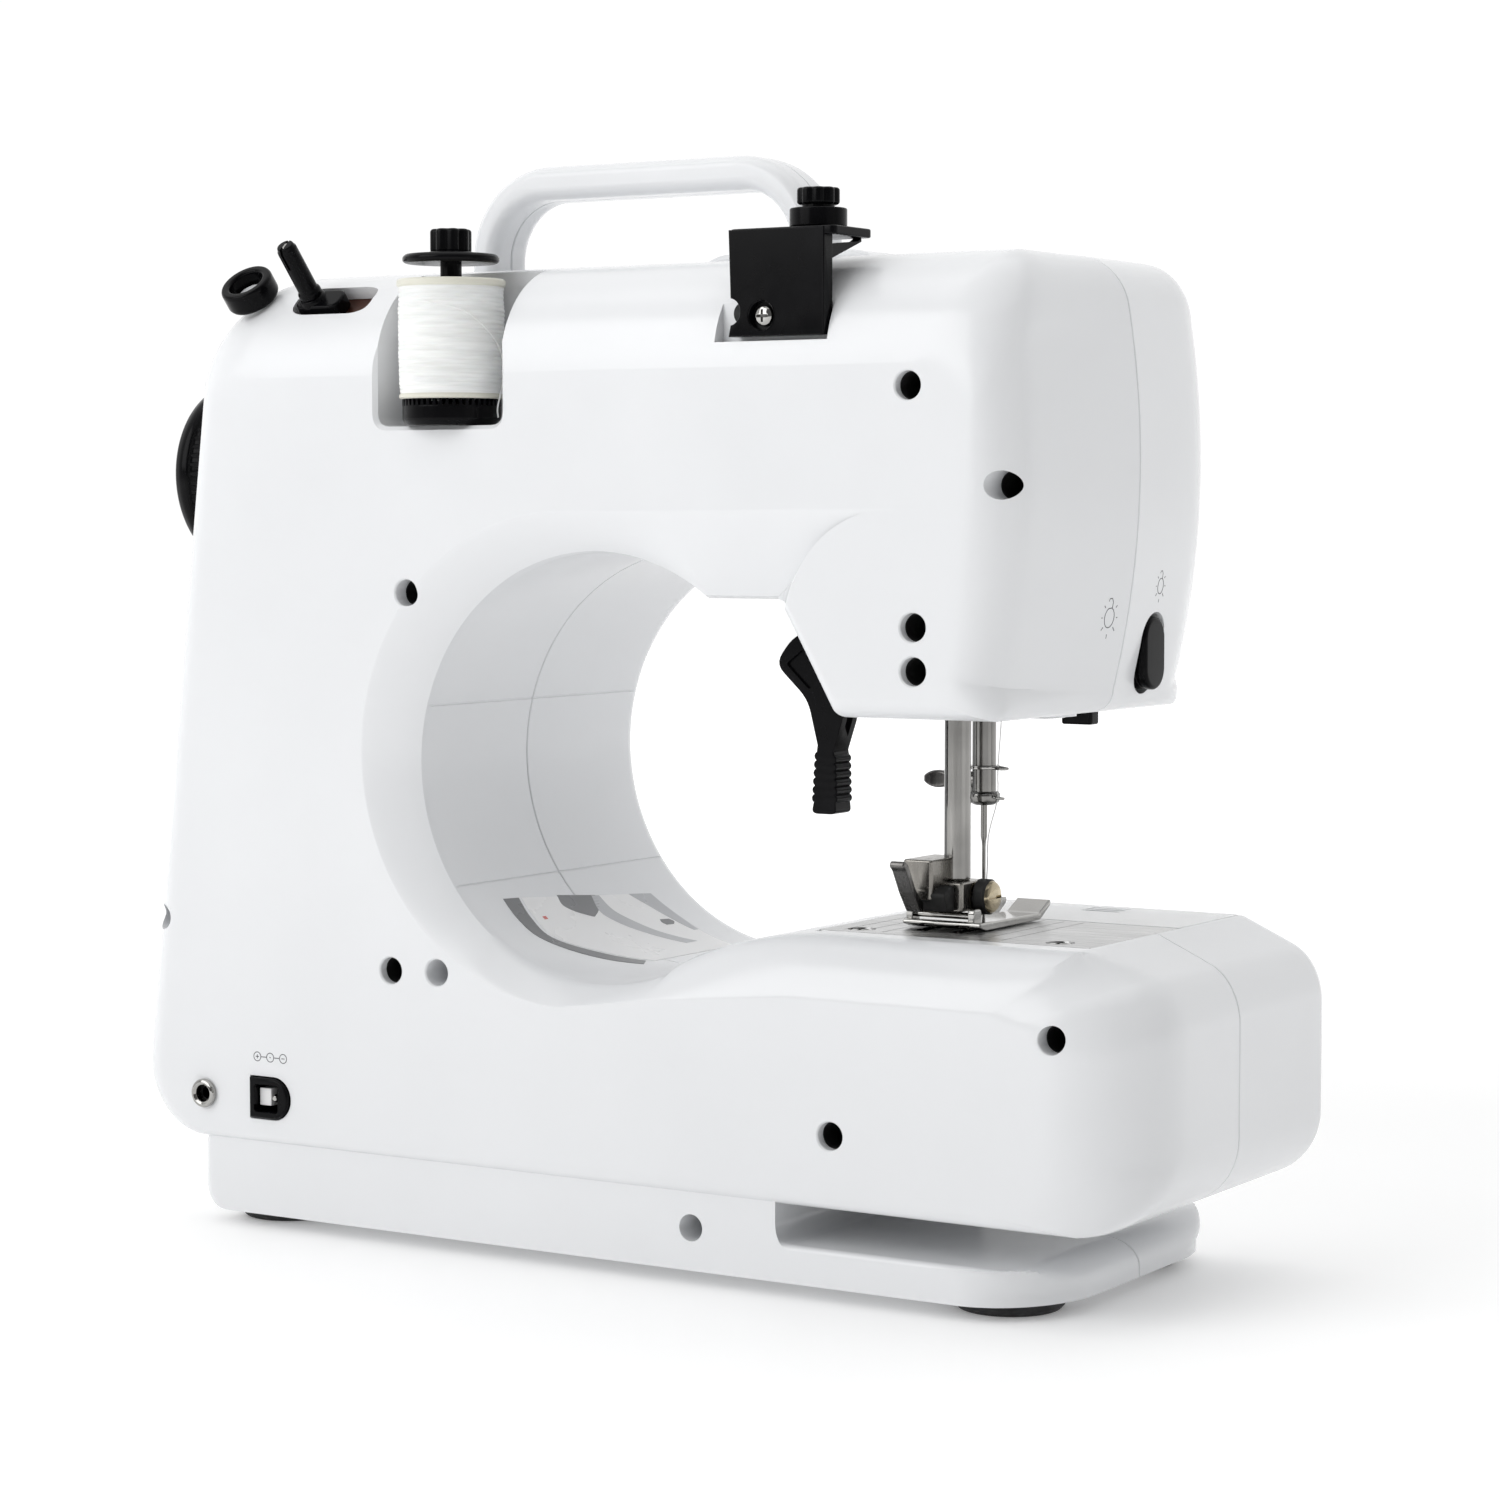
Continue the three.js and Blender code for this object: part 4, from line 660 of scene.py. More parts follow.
def cover_block(side):
    face, base_face, sign = COVER_FACE[side]
    start = SEAM + sign * GAP / 2
    body = loft(side + "_body", outline_points(body_stretches(), side), start, face,
                fine_levels(abs(face - start)), softened=0.22)
    base = loft(side + "_base", outline_points(base_stretches(), side), start, base_face,
                fine_levels(abs(base_face - start)), softened=0.22)
    return body, base


def base_hollow_outline():
    below, inside, plate = BASE_BOTTOM - 1, ARM_BOTTOM + 5, FOOT_PLATE_TOP - WALL
    tip, edge = (24, 2, 0), (1, 2, 0)
    corners = [
        (-116, below, -95, tip), (-116, 6, -95, tip), (-110, plate, -90, tip), (-48.6, plate, -50, edge),
        (-48.6, inside, -50, edge), (107, inside, 106, edge), (111.6, 19, 109, edge),
        (111.6, below, 109, edge),
    ]
    return [((x, z), (face_x, z), easing) for x, z, face_x, easing in corners]


def cover_hollow(side):
    face, base_face, sign = COVER_FACE[side]
    points = outline_points(body_stretches(), side, inside=True)
    seam = inset([p[0] for p in points], WALL)
    rim = inset([p[1] for p in points], WALL)
    outline = [(s, r, p[2]) for s, r, p in zip(seam, rim, points)]
    start = SEAM - sign
    body = loft("hollow", outline, start, face - sign * WALL, [0, 0.5, 0.72, 0.88, 1])
    base = loft("base_hollow", base_hollow_outline(), start, base_face - sign * WALL, [0, 0.5, 0.8, 0.93, 1])
    return joined(body, base)


# ---------- the two covers ----------

SCREW_HOLE_R, SCREW_BOSS_R, SCREW_FLOOR = 3.1, 5, 4
BEHIND_CRANK, BEHIND_ROD, DEEP = 24, 38, 5.15
SCREW_HOLES = [
    (-86.4, 201.7, BEHIND_CRANK), (-107.5, 180.3, DEEP), (48.5, 155.6, DEEP), (-87.8, 149.8, BEHIND_ROD),
    (-87.9, 140.3, BEHIND_ROD), (53.6, 66.2, DEEP), (40.1, 66.6, DEEP), (125, 74.7, DEEP),
    (-121.6, 63.1, DEEP), (-67.3, 37.7, DEEP), (-30.1, 13.3, DEEP),
]
PLATE_LOW, PLATE_HIGH = (-122.3, -46, 78.5), (-53.7, 37.3, 86)
POCKET_X, POCKET_BACK, POCKET_FLOOR = (21, 57), 35, 194.5
SEAT_X, SEAT_BACK, SEAT_FLOOR = (-66, -37), 49.6, 212
INLET, PEDAL = (90.5, 32.5), (111, 32.2)
INLET_WIDTH, INLET_HEIGHT = 12, 10
WINDER_TILT = -41
WINDER_PLACE, WINDER_X = (45.7, 225.4), 82
RING_PLACE, RING_X = (49.4, 230), 100
AXLE = (5, 184)
TENSION, STITCH = (-48, 196), (84, 140)
ROCKER = (-9.5, 142.8)
POWER_X, SPEED_X, BUTTON_Z = 86, 62, 190


def inlet_outline(margin):
    x, z = INLET
    half = INLET_HEIGHT / 2 + margin
    centre = x - INLET_WIDTH / 2 + INLET_HEIGHT / 2
    round_end = [(centre + half * cos(pi / 2 + pi * i / 24),
                  z + half * sin(pi / 2 + pi * i / 24)) for i in range(25)]
    flat = x + INLET_WIDTH / 2 + margin
    return round_end + [(flat, z - half), (flat, z + half)]


def pill(u, v, width, height, steps=16):
    r, lift = width / 2, height / 2 - width / 2
    upper = [(u + r * cos(pi * i / steps), v + lift + r * sin(pi * i / steps)) for i in range(steps + 1)]
    lower = [(u - r * cos(pi * i / steps), v - lift - r * sin(pi * i / steps)) for i in range(steps + 1)]
    return upper + lower


def leaned(piece, place):
    """Leans a piece back about the X axis through the origin and moves it onto the rounding."""
    y, z = place
    lean = Matrix.Rotation(radians(WINDER_TILT), 4, "X")
    piece.data.transform(Matrix.Translation((0, y * MM, z * MM)) @ lean)
    return piece


def shared_cuts():
    low, high = PLATE_LOW, PLATE_HIGH
    return [
        block("plate_seat", low, high),
        block("plate_window", (-118, -34, 69), (-58, 33, 81)),
        block("bar_window", (-92, -2, 125.8), (-70, 25, 137.8)),
        rod("shaft_hole", "x", *AXLE, 6, 100, 125),
    ]


def ledge():
    return block("ledge", (-124, -46, 76.1), (-52, 40, 78.8))


def screw_well(x, z, y):
    """A screw hole whose mouth is slightly rounded where the face around it is flat."""
    profile = [(0, y + SCREW_FLOOR), (SCREW_HOLE_R, y + SCREW_FLOOR), (SCREW_HOLE_R, BACK - 0.45),
               (SCREW_HOLE_R + 0.12, BACK - 0.2), (SCREW_HOLE_R + 0.45, BACK + 0.02),
               (SCREW_HOLE_R + 0.45, BACK + 2), (0, BACK + 2)]
    return turned("screw_well", profile, "y", x, z, 40)


def pocket_tools():
    """The spool recess, rounded at the bottom, with a softened mouth."""
    outline = [(POCKET_X[0], POCKET_FLOOR), (POCKET_X[1], POCKET_FLOOR), (POCKET_X[1], TOP + 5),
               (POCKET_X[0], TOP + 5)]
    outline = filleted(outline, 3.2)
    wider = inset(outline, -1.0)
    rings = [[spot("y", u, v, w) for u, v in ring] for ring,
             w in ((outline, BACK - 1), (wider, BACK + 0.05), (wider, BACK + 6))]
    return [prism("pocket", outline, "y", POCKET_BACK, BACK + 5), skin("mouth", rings)]


def winder_slot_outline():
    return filleted([(64, -3.4), (67.5, -5), (84, -5), (87, -3.6), (87, 3.6), (84, 5), (67.5, 5), (64, 3.4)],
                    2.2)


def step_lines():
    """Two fine steps that run along the wall of the work opening."""
    x, z, r = THROAT
    return [rod("step", "y", *polar(x, z, r, angle), 0.3, FRONT - 1, BACK + 1, 10) for angle in (15.5, -36)]


def rear_cover():
    body, base = cover_block("rear")
    whole = joined(body, base)
    extras = [rod("post", "y", x, z, SCREW_BOSS_R, y, BACK, 24) for x, z, y in SCREW_HOLES]
    extras.append(ledge())
    extras.append(block("pocket_wall", (POCKET_X[0] - WALL, POCKET_BACK - WALL, POCKET_FLOOR - WALL),
                        (POCKET_X[1] + WALL, BACK + 1, TOP + 1)))
    extras.append(block("seat_wall", (SEAT_X[0] - WALL, SEAT_BACK - WALL, SEAT_FLOOR - WALL),
                        (SEAT_X[1] + WALL, BACK + 1, TOP)))
    inside = common(joined(extras[0], *extras[1:]), whole)
    shell = joined(cut(whole, cover_hollow("rear")), inside)
    stop_post = leaned(rod("stop_post", "z", RING_X, 0, 3.3, -8.2, -3.4), RING_PLACE)
    tools = [
        *pocket_tools(),
        block("seat", (SEAT_X[0], SEAT_BACK, SEAT_FLOOR), (SEAT_X[1], BACK + 5, TOP + 9)),
        block("lifter_slot", (-74, 23.3, 133), (-34, 31.7, 160)),
        leaned(prism("winder_slot", winder_slot_outline(), "z", -9, 6), WINDER_PLACE),
        *step_lines(),
        prism("inlet", inlet_outline(GAP), "y", 44, BACK + 2),
        rod("pedal", "y", *PEDAL, 3.3, 44, BACK + 2),
        *[screw_well(*hole) for hole in SCREW_HOLES],
        *shared_cuts(),
    ]
    return joined(cut(shell, *tools), stop_post)


def front_cover():
    body, base = cover_block("front")
    whole = joined(body, base)
    rim = common(ledge(), whole)
    shell = joined(cut(whole, cover_hollow("front")), rim)
    tools = [
        block("take_up_slot", (-74.5, -46, 172), (-69.5, -33, 219)),
        rod("tension_hole", "y", *TENSION, 4.3, -46, -38),
        rod("stitch_hole", "y", *STITCH, 4.3, -46, -38),
        *[rod("button_hole", "y", x, BUTTON_Z, 6.3, -46, -38) for x in (POWER_X, SPEED_X)],
        prism("rocker_hole", pill(*ROCKER, 11, 18.6), "x", -118, -106),
        *step_lines(),
        *shared_cuts(),
    ]
    return cut(shell, *tools)


# ---------- shapes for the smaller pieces ----------

BODY_OF = {node: body for body, nodes in frame["record"]["behaviour"]["bodies"].items() for node in nodes}
SLOT_OF = {entry["node"]: entry["material_slot"] for entry in frame["record"]["subparts"]}


def refined(node, piece, material=None, angle=32):
    """The piece takes the place of a CAD node: its body and, unless told otherwise, the finish of its slot.
    """
    slot = SLOT_OF[node]
    piece.name = node + "_fine"
    return finished(piece, BODY_OF[node], material or BY_SLOT[slot], slot, node, angle=angle)


def added(name, piece, body, slot, material=None, angle=32):
    """A detail that has no CAD node of its own."""
    piece.name = name
    return finished(piece, body, material or BY_SLOT[slot], slot, angle=angle)


def filleted(points, r, closed=True, steps=5):
    """The polyline with each corner turned into a small curve."""
    made = []
    count = len(points)
    for i, point in enumerate(points):
        if not closed and i in (0, count - 1):
            made.append(point)
            continue
        corner = Vector(point)
        before = Vector(points[i - 1]) - corner
        after = Vector(points[(i + 1) % count]) - corner
        start = corner + before.normalized() * min(r, before.length * 0.49)
        end = corner + after.normalized() * min(r, after.length * 0.49)
        for k in range(steps + 1):
            t = k / steps
            made.append(tuple(start * (1 - t) ** 2 + corner * 2 * t * (1 - t) + end * t * t))
    return made


def pressed(name, outline, along, start, end, rim=0.4, steps=3):
    """A prism whose two end edges are rounded."""
    sign = 1 if end > start else -1
    bends = [pi / 2 * k / steps for k in range(steps + 1)]
    curve = [(rim * (1 - sin(bend)), rim * (1 - cos(bend))) for bend in bends]
    rings = [[spot(along, u, v, start + sign * rise) for u, v in inset(outline, shrink)] for shrink,
             rise in curve]
    rings += [[spot(along, u, v, end - sign * rise) for u, v in inset(outline, shrink)]
              for shrink, rise in reversed(curve)]
    return skin(name, rings)


def spun(name, profile, along, u, v, r=0.4, sides=64):
    """A body of revolution with its corners rounded; the profile starts and ends on the axis."""
    return turned(name, filleted(profile, r, closed=False), along, u, v, sides)


def box_outline(u0, u1, v0, v1):
    return [(u0, v0), (u1, v0), (u1, v1), (u0, v1)]


def soft_block(name, low, high, r=0.8, rim=0.4):
    (x0, y0, z0), (x1, y1, z1) = low, high
    return pressed(name, filleted(box_outline(x0, x1, y0, y1), r), "z", z0, z1, rim)


def lobed(u, v, outer, inner, count, sharpness=1.0, per=8):
    """A round outline with even lobes; a low sharpness gives wide lobes with narrow grooves."""
    points = []
    for i in range(count * per):
        reach = inner + (outer - inner) * (0.5 + 0.5 * cos(tau * i / per)) ** sharpness
        angle = tau * i / (count * per)
        points.append((u + reach * cos(angle), v + reach * sin(angle)))
    return points


def gathered(name, pieces):
    """Several meshes as one object, side by side."""
    whole = bmesh.new()
    for piece in pieces:
        whole.from_mesh(piece.data)
        bpy.data.objects.remove(piece)
    mesh = bpy.data.meshes.new(name)
    whole.to_mesh(mesh)
    whole.free()
    made = bpy.data.objects.new(name, mesh)
    bpy.context.collection.objects.link(made)
    return made


# ---------- carrying handle, base, feet ----------

HANDLE_OUTER, HANDLE_INNER = (-38, 60, 257.5, 22), (-31, 52.8, 249.5, 14)
HANDLE_ROUND, HANDLE_SHRINK, HANDLE_SUNK = 4.2, 2.7, 3


def arch_points(left, right, top, r, steps=18):
    low = TOP - HANDLE_SUNK

    def turn(centre, start):
        return [arc(centre, top - r, r, r, start, start - 90)(i / steps) for i in range(steps + 1)]

    return [(left, low), *turn(left + r, 180), *turn(right - r, 90), (right, low)]


def handle_half(seam_y, face_y, pad_y):
    ring = arch_points(*HANDLE_OUTER) + arch_points(*HANDLE_INNER)[::-1]
    face = inset(ring, HANDLE_SHRINK)
    easing = (HANDLE_ROUND, 2, 0)
    depth = abs(face_y - seam_y)
    levels = [0] + [1 - HANDLE_ROUND / depth * (1 - sin(pi / 2 * k / 9)) for k in range(10)]
    grip = loft("grip", [(s, f, easing) for s, f in zip(ring, face)], seam_y, face_y, levels, softened=0.25)
    low = TOP - 1
    wedge = filleted([(-60, low), (-57.5, TOP + 0.2), (-51.5, TOP + 2.7), (-14.5, TOP + 2.7),
                      (-8.5, TOP + 0.2), (-6.5, low)], 2.2)
    pad = pressed("pad", wedge, "y", seam_y, pad_y, 1.1, 5)
    return gathered("handle", [grip, pad])


def foot(node):
    x, y, _ = middle(node)
    low, high = limits(node)
    r = (high[0] - low[0]) / 2
    profile = [(0, 0.7), (r - 4.5, 0.7), (r - 4, 0), (r - 1.2, 0), (r, 1.3), (r - 0.3, high[2] + 0.3),
               (0, high[2] + 0.3)]
    return spun(node, profile, "z", x, y, 0.5)


# ---------- thread guide on the top ----------

GUIDE_POST = (-58.8, 45)
GUIDE_SCREW = (-49.5, 217.5)


def guide_bracket():
    notch = [polar(-41, 218.5, 3, angle) for angle in range(260, 99, -10)]
    plate = [(-65.5, 213), (-41, 213), *notch, (-41, 236.4), (-65.5, 236.4)]
    sheet = pressed("plate", plate, "y", BACK - 4, BACK, 0.35)
    flange = pressed("flange", filleted(box_outline(-68, -41, 37, BACK - 0.3), 1.6), "z", 234.6, 236.6, 0.4)
    web = [(BACK - 3.7, 229.6), (BACK - 3.7, 232.8), (39, 233.9), (37.6, 234.6), (37.6, 233.9)]
    gusset = prism("gusset", web, "x", -65.4, -63.2)
    bracket = joined(sheet, flange, rod("post", "z", *GUIDE_POST, 2, 235.5, 244.2, 32))
    x, z = GUIDE_SCREW
    sink = [(0, BACK - 5), (1.8, BACK - 5), (1.8, BACK - 2), (3.1, BACK - 1.9), (3.2, BACK - 0.3),
            (3.5, BACK + 0.02), (3.5, BACK + 1), (0, BACK + 1)]
    edge = [(3.45, BACK - 0.3), (3.62, BACK - 0.3), (3.62, BACK + 0.1), (3.45, BACK + 0.1)]
    rim = hoop("rim", edge, "y", x, z, 48)
    return gathered("bracket", [cut(bracket, turned("sink", sink, "y", x, z, 40)), gusset, rim])


def seat_painted_shade():
    """Painted shade: a near-black disc for the dark inside of the blind hole that shows through the notch of
    the thread guide.
    """
    return rod("well", "y", -42.3, 218.3, 2.5, SEAT_BACK - 0.5, SEAT_BACK + 0.12, 32)


def cross_head(name, along, u, v, top, r, depth=1.2, toward=1):
    """A domed screw head with a cross recess; its top faces along the axis."""
    profile = [(0, top - toward * 3), (r * 0.55, top - toward * 3), (r * 0.55, top - toward * depth),
               (r, top - toward * depth), (r * 0.98, top - toward * depth * 0.45),
               (r * 0.72, top - toward * 0.12), (0, top)]
    head = turned(name, profile, along, u, v, 40)
    arm, half = r * 0.62, r * 0.13
    low, high = sorted((top - toward * 0.9, top + toward))
    slots = [prism("slot", box_outline(u - a, u + a, v - b, v + b), along, low, high) for a,
             b in ((arm, half), (half, arm))]
    return cut(head, *slots)


def pretension_knob():
    collar = spun("collar", [(0, 236.8), (6.35, 236.8), (6.35, 241), (0, 241)], "z", *GUIDE_POST, 0.45)
    neck = rod("neck", "z", *GUIDE_POST, 3.6, 240.8, 242)
    nut = pressed("nut", lobed(*GUIDE_POST, 4.75, 4.15, 9, 0.45), "z", 241.7, 245.5, 0.7, 4)
    return gathered("pretension_knob", [collar, neck, nut])


# ---------- spool, its pin and its cap ----------

SPOOL = (39.2, 48)
WINDING_LOW, WINDING_HIGH, WINDING_R = 202.0, 226.7, 11.75
THREAD_PITCH, THREAD_R = 1.02, 0.26
TOOTH_COUNT = 46


def spool_base():
    low = POCKET_FLOOR
    body = spun("base", [(0, low), (10.4, low), (11.5, low + 1.4), (11.5, low + 4.8), (10.4, low + 5),
                         (3.4, low + 5.6),
                         (2.5, low + 6.2), (2.5, 235.4), (1.9, 236), (0, 236)], "z", *SPOOL, 0.4, 96)
    teeth = []
    for k in range(TOOTH_COUNT):
        tooth = prism("tooth", [(-0.5, low + 4.6), (0.5, low + 4.6), (0.22, low + 6.2), (-0.22, low + 6.2)],
                      "y", 10.2, 11.5)
        tooth.data.transform(Matrix.Translation((SPOOL[0] * MM, SPOOL[1] * MM,
                                                 0)) @ Matrix.Rotation(tau * k / TOOTH_COUNT, 4, "Z"))
        teeth.append(tooth)
    return gathered("spool_base", [body, *teeth])


def winding_radius(z, angle):
    """Radius of the wound thread: a slight barrel, one ridge a turn, and layers that wander a little."""
    t = (z - WINDING_LOW) / (WINDING_HIGH - WINDING_LOW)
    barrel = 0.5 * max(sin(pi * (t * 0.86 + 0.02)), 0.0) ** 0.6
    wander = 0.12 * noise.noise(Vector((cos(angle) * 1.2, sin(angle) * 1.2, z * 0.5)))
    height = noise.noise(Vector((cos(angle) * 0.9, sin(angle) * 0.9, round(z / THREAD_PITCH) * 1.7)))
    wave = sin(pi * (z / THREAD_PITCH + angle / tau + 1.2 * wander))
    ridge = THREAD_R * (0.75 + 0.5 * height) * abs(wave) ** 0.7
    return WINDING_R + barrel + wander + ridge


def thread_winding():
    sides, count = 120, 236
    rings = []
    for k in range(count + 1):
        z = WINDING_LOW + (WINDING_HIGH - WINDING_LOW) * k / count
        turns = [(tau * i / sides, winding_radius(z, tau * i / sides)) for i in range(sides)]
        rings.append([(SPOOL[0] + r * cos(turn), SPOOL[1] + r * sin(turn), z) for turn, r in turns])
    core = [[(u, v, z) for u, v in circle(*SPOOL, 4.6, sides)] for z in (WINDING_HIGH, WINDING_LOW)]
    return loop_skin("winding", [*rings, *core, rings[0]])


def loose_strand():
    """One turn that crosses the others from high on one side to low on the other."""
    run = [(92, 222.9, 12.1), (106, 222.5, 12.5), (141, 220.7, 12.62), (172, 215.7, 12.64),
           (192, 211.2, 12.64), (199, 206.4, 12.64),
           (190, 202, 12.64), (184, 198.6, 12.6), (186, 196.4, 12.5)]
    path = [(*polar(*SPOOL, r, angle), z) for angle, z, r in run]
    return tube("strand", smooth_path(path, 8), 0.2, 8)


def spool_core():
    ends = [(2.9, 200.8), (11.8, 200.8), (12.2, 201.1), (12.2, 201.7), (11.9, 202), (4.2, 202), (4.2, 226.7),
            (12.3, 226.7),
            (12.7, 227.1), (12.7, 228.1), (12.3, 228.5), (9, 228.7), (5, 228.4), (2.9, 228.4)]
    return hoop("core", ends, "z", *SPOOL, 96)


def spool_cap():
    disc = [(0, 232.2), (10.6, 232.2), (11.3, 232.7), (11.3, 233.6), (10.6, 234.3), (5.6, 234.5), (5, 235),
            (0, 235)]
    knob = pressed("knob", lobed(*SPOOL, 4.85, 4.1, 8, 0.5, 12), "z", 234.6, 240.2, 0.8, 4)
    return gathered("spool_cap", [spun("disc", disc, "z", *SPOOL, 0.35, 96), knob])


# ---------- bobbin winder ----------



def winder_arm():
    foot_outline = filleted(box_outline(WINDER_X - 8.6, WINDER_X + 4.4, -3.4, 3.4), 3)
    slab = pressed("slab", foot_outline, "z", -4, 0.2, 0.6, 4)
    flare = spun("flare", [(0, -1), (3.7, -1), (3.3, 0.4), (2.8, 1.2), (0, 1.2)], "z", WINDER_X, 0, 0.5)
    return leaned(gathered("winder_arm", [slab, flare]), WINDER_PLACE)


def winder_spindle():
    profile = [(0, 1.3), (2.9, 1.3), (2.9, 2.5), (2.45, 3.2), (2.45, 15), (2.2, 15.4), (2.0, 16.2), (0, 16.2)]
    body = spun("spindle", profile, "z", WINDER_X, 0, 0.3, 40)
    slit = block("slit", (WINDER_X - 0.35, -3, 10.5), (WINDER_X + 0.35, 3, 17))
    return leaned(cut(body, slit), WINDER_PLACE)


def winder_floor():
    """Brown plate that shows through the slot beside the arm."""
    return leaned(block("floor", (62, -6, -5.4), (89, 6, -4.4)), WINDER_PLACE)


def winder_pin_end():
    return leaned(spun("pin_end", [(0, 13), (1.1, 13), (1.1, 15.9), (0.8, 16.15), (0, 16.15)], "z", WINDER_X,
                       0, 0.2, 24), WINDER_PLACE)


def stop_ring():
    ring = filleted([(4.25, -5.6), (6.1, -5.6), (6.6, -4.8), (6.6, -0.7), (6.2, 0), (4.7, 0), (4.25, -0.5)],
                    0.4)
    return leaned(hoop("ring", ring, "z", RING_X, 0), RING_PLACE)


# ---------- sockets at the back ----------

SHADE_SLEEVE_DEPTHS = (2.4, 9, 4.2, 2.4, 2.4, 2.4, 0, 0, 4.2, 2.4,
                 0)  # where each painted-shade sleeve begins; 0 for a hole without one


def well_shade_sleeve(x, z, y, depth):
    """Painted shade: a near-black sleeve that darkens a deep screw hole from a depth below the rear face."""
    ring = [(SCREW_HOLE_R - 0.15, y + SCREW_FLOOR + 0.1), (SCREW_HOLE_R + 0.2, y + SCREW_FLOOR + 0.1),
            (SCREW_HOLE_R + 0.2, BACK - depth),
            (SCREW_HOLE_R - 0.15, BACK - depth)]
    return hoop("sleeve", ring, "y", x, z, 40)


def inlet_socket():
    x, z = INLET
    shell = pressed("shell", inlet_outline(0), "y", 43, BACK + 1, 0.7, 4)
    well = pressed("well", filleted(box_outline(x - 3, x + 4.4, z - 3.4, z + 3.4), 0.8), "y", 46, BACK + 2,
                   0.1)
    return cut(shell, well)


def inlet_contacts():
    x, z = INLET
    pin = spun("pin", [(0, 45), (1, 45), (1, BACK - 0.9), (0.6, BACK - 0.3), (0, BACK - 0.3)], "y", x - 0.9,
               z, 0.2, 24)
    spring = soft_block("spring", (x - 2.6, 45, z - 3.2), (x + 3.8, 46.3, z - 2.4), 0.3, 0.15)
    return gathered("contacts", [pin, spring])


# Painted light: a pale block in label white for the bright square seen through the socket's window.
def inlet_painted_light():
    x, z = INLET
    return soft_block("inlet_painted_light", (x + 0.5, 45, z - 2.0), (x + 4.1, BACK - 0.9, z + 2.3), 0.3, 0.2)


def pedal_socket():
    x, z = PEDAL
    profile = [(0, 43), (2.9, 43), (2.9, BACK + 0.2), (3.55, BACK + 0.25), (3.55, BACK + 0.9),
               (3.3, BACK + 1.4), (2.7, BACK + 1.6),
               (2.1, BACK + 1.2), (1.9, BACK + 0.6), (1.9, 46.2), (0, 46.2)]
    return spun("socket", profile, "y", x, z, 0.12, 64)


def pedal_depth():
    """Dark insulator inside the socket."""
    x, z = PEDAL
    return spun("insulator", [(0, 46.3), (1.88, 46.3), (1.88, BACK - 0.5), (1.5, BACK - 0.6), (1.5, 47),
                              (0, 47)], "y", x, z, 0.1, 32)


# ---------- under the head ----------

NEEDLE, BAR, LAMP = (-79, 5), (-79, 17.5), (-97.5, 12)  # x and y of what points down
CLAMP_Z, SHANK_SCREW_Z = 113.5, 88.2


def lens():
    return spun("lens", [(0, 128.5), (3.5, 128.6), (5.4, 128.9), (6.2, 129.4), (6.2, 130.2), (0, 130.2)],
                "z", *LAMP, 0.6)


def lens_rim():
    ring = [(6.4, 129.2), (7.6, 129.2), (7.6, 130.4), (6.4, 130.4)]
    return hoop("rim", ring, "z", *LAMP)


def bar_plate():
    """Thin steel plate under the head that both bars pass through."""
    outline = filleted(box_outline(-88.5, -72.5, -1.5, 23.5), 3)
    plate = pressed("plate", outline, "z", 129.0, 130.2, 0.15)
    return cut(plate, rod("hole", "z", *NEEDLE, 3.4, 128, 131, 40), rod("hole", "z", *BAR, 3.5, 128, 131, 40))


def cutter():
    body = soft_block("body", (-101.6, -8.2, 126.4), (-93.9, -3.8, 130.2), 1.0, 0.5)
    return cut(body, block("slot", (-99.6, -9, 125), (-98.9, -5.4, 128.6)))


def cutter_blade():
    return prism("blade", [(-5.3, 126.9), (-7.6, 128.9), (-5.3, 129.6)], "x", -99.5, -99.05)


def needle_bar():
    bar = spun("bar", [(0, 109.5), (2.45, 109.5), (2.75, 109.9), (2.75, 157.5), (0, 157.5)], "z", *NEEDLE,
               0.15, 48)
    pin = rod("pin", "x", 5, 155.01, 2, -84.8, -79, 24)
    return gathered("needle_bar", [bar, pin])


def bar_guide():
    """Wire thread guides clipped to the needle bar."""
    x, y = NEEDLE
    upper = [(x - 2.6, y - 1.0, 116.6), (x - 4.4, y - 0.8, 116.5), (x - 6.2, y + 0.3, 116.4),
             (x - 5.4, y + 1.7, 116.4), (x - 3.4, y + 1.8, 116.5), (x - 2.2, y + 1.5, 116.6)]
    lower = [(x - 2.6, y + 1.6, 110.2), (x - 4.2, y + 1.9, 109.8), (x - 5.3, y + 0.9, 109.6),
             (x - 4.6, y - 0.4, 109.5), (x - 3.0, y - 0.8, 109.5)]
    band = spun("band", [(0, 116.2), (3.7, 116.2), (3.7, 117), (0, 117)], "z", x, y, 0.2, 48)
    return gathered("guides", [band, tube("upper", smooth_path(upper), 0.33, 10),
                               tube("lower", smooth_path(lower), 0.33, 10)])


def needle_clamp():
    x, y = NEEDLE
    collar = spun("collar", [(0, 108), (2.4, 108), (3.5, 108.7), (3.7, 109.6), (3.7, 110.5), (3.2, 111.1),
                             (0, 111.1)], "z", x, y, 0.3, 48)
    boss = rod("boss", "x", y, CLAMP_Z, 2.0, x + 1, x + 5.8, 32)
    link = soft_block("link", (x + 2.2, y - 1.3, 110), (x + 4.3, y + 1.3, CLAMP_Z), 0.3, 0.2)
    return gathered("needle_clamp", [collar, boss, link])


def clamp_screw():
    """A leaf-shaped thumb screw."""
    x, y, z = NEEDLE[0] + 8.2, NEEDLE[1], CLAMP_Z
    share = [k / 16 for k in range(17)]
    leaf = [(x + 7 * t, z + 2.0 * sin(pi * min(1, t * 0.93 + 0.04)) ** 0.5) for t in share]
    outline = leaf + [(u, 2 * z - v) for u, v in reversed(leaf)]
    wing = pressed("wing", outline, "y", y - 1.2, y + 1.2, 0.5, 4)
    neck = spun("neck", [(0, x - 2.0), (1.3, x - 2.0), (1.3, x - 0.6), (2.2, x - 0.2), (1.9, x + 0.9),
                         (0, x + 0.9)], "x", y, z, 0.3, 32)
    return joined(wing, neck)


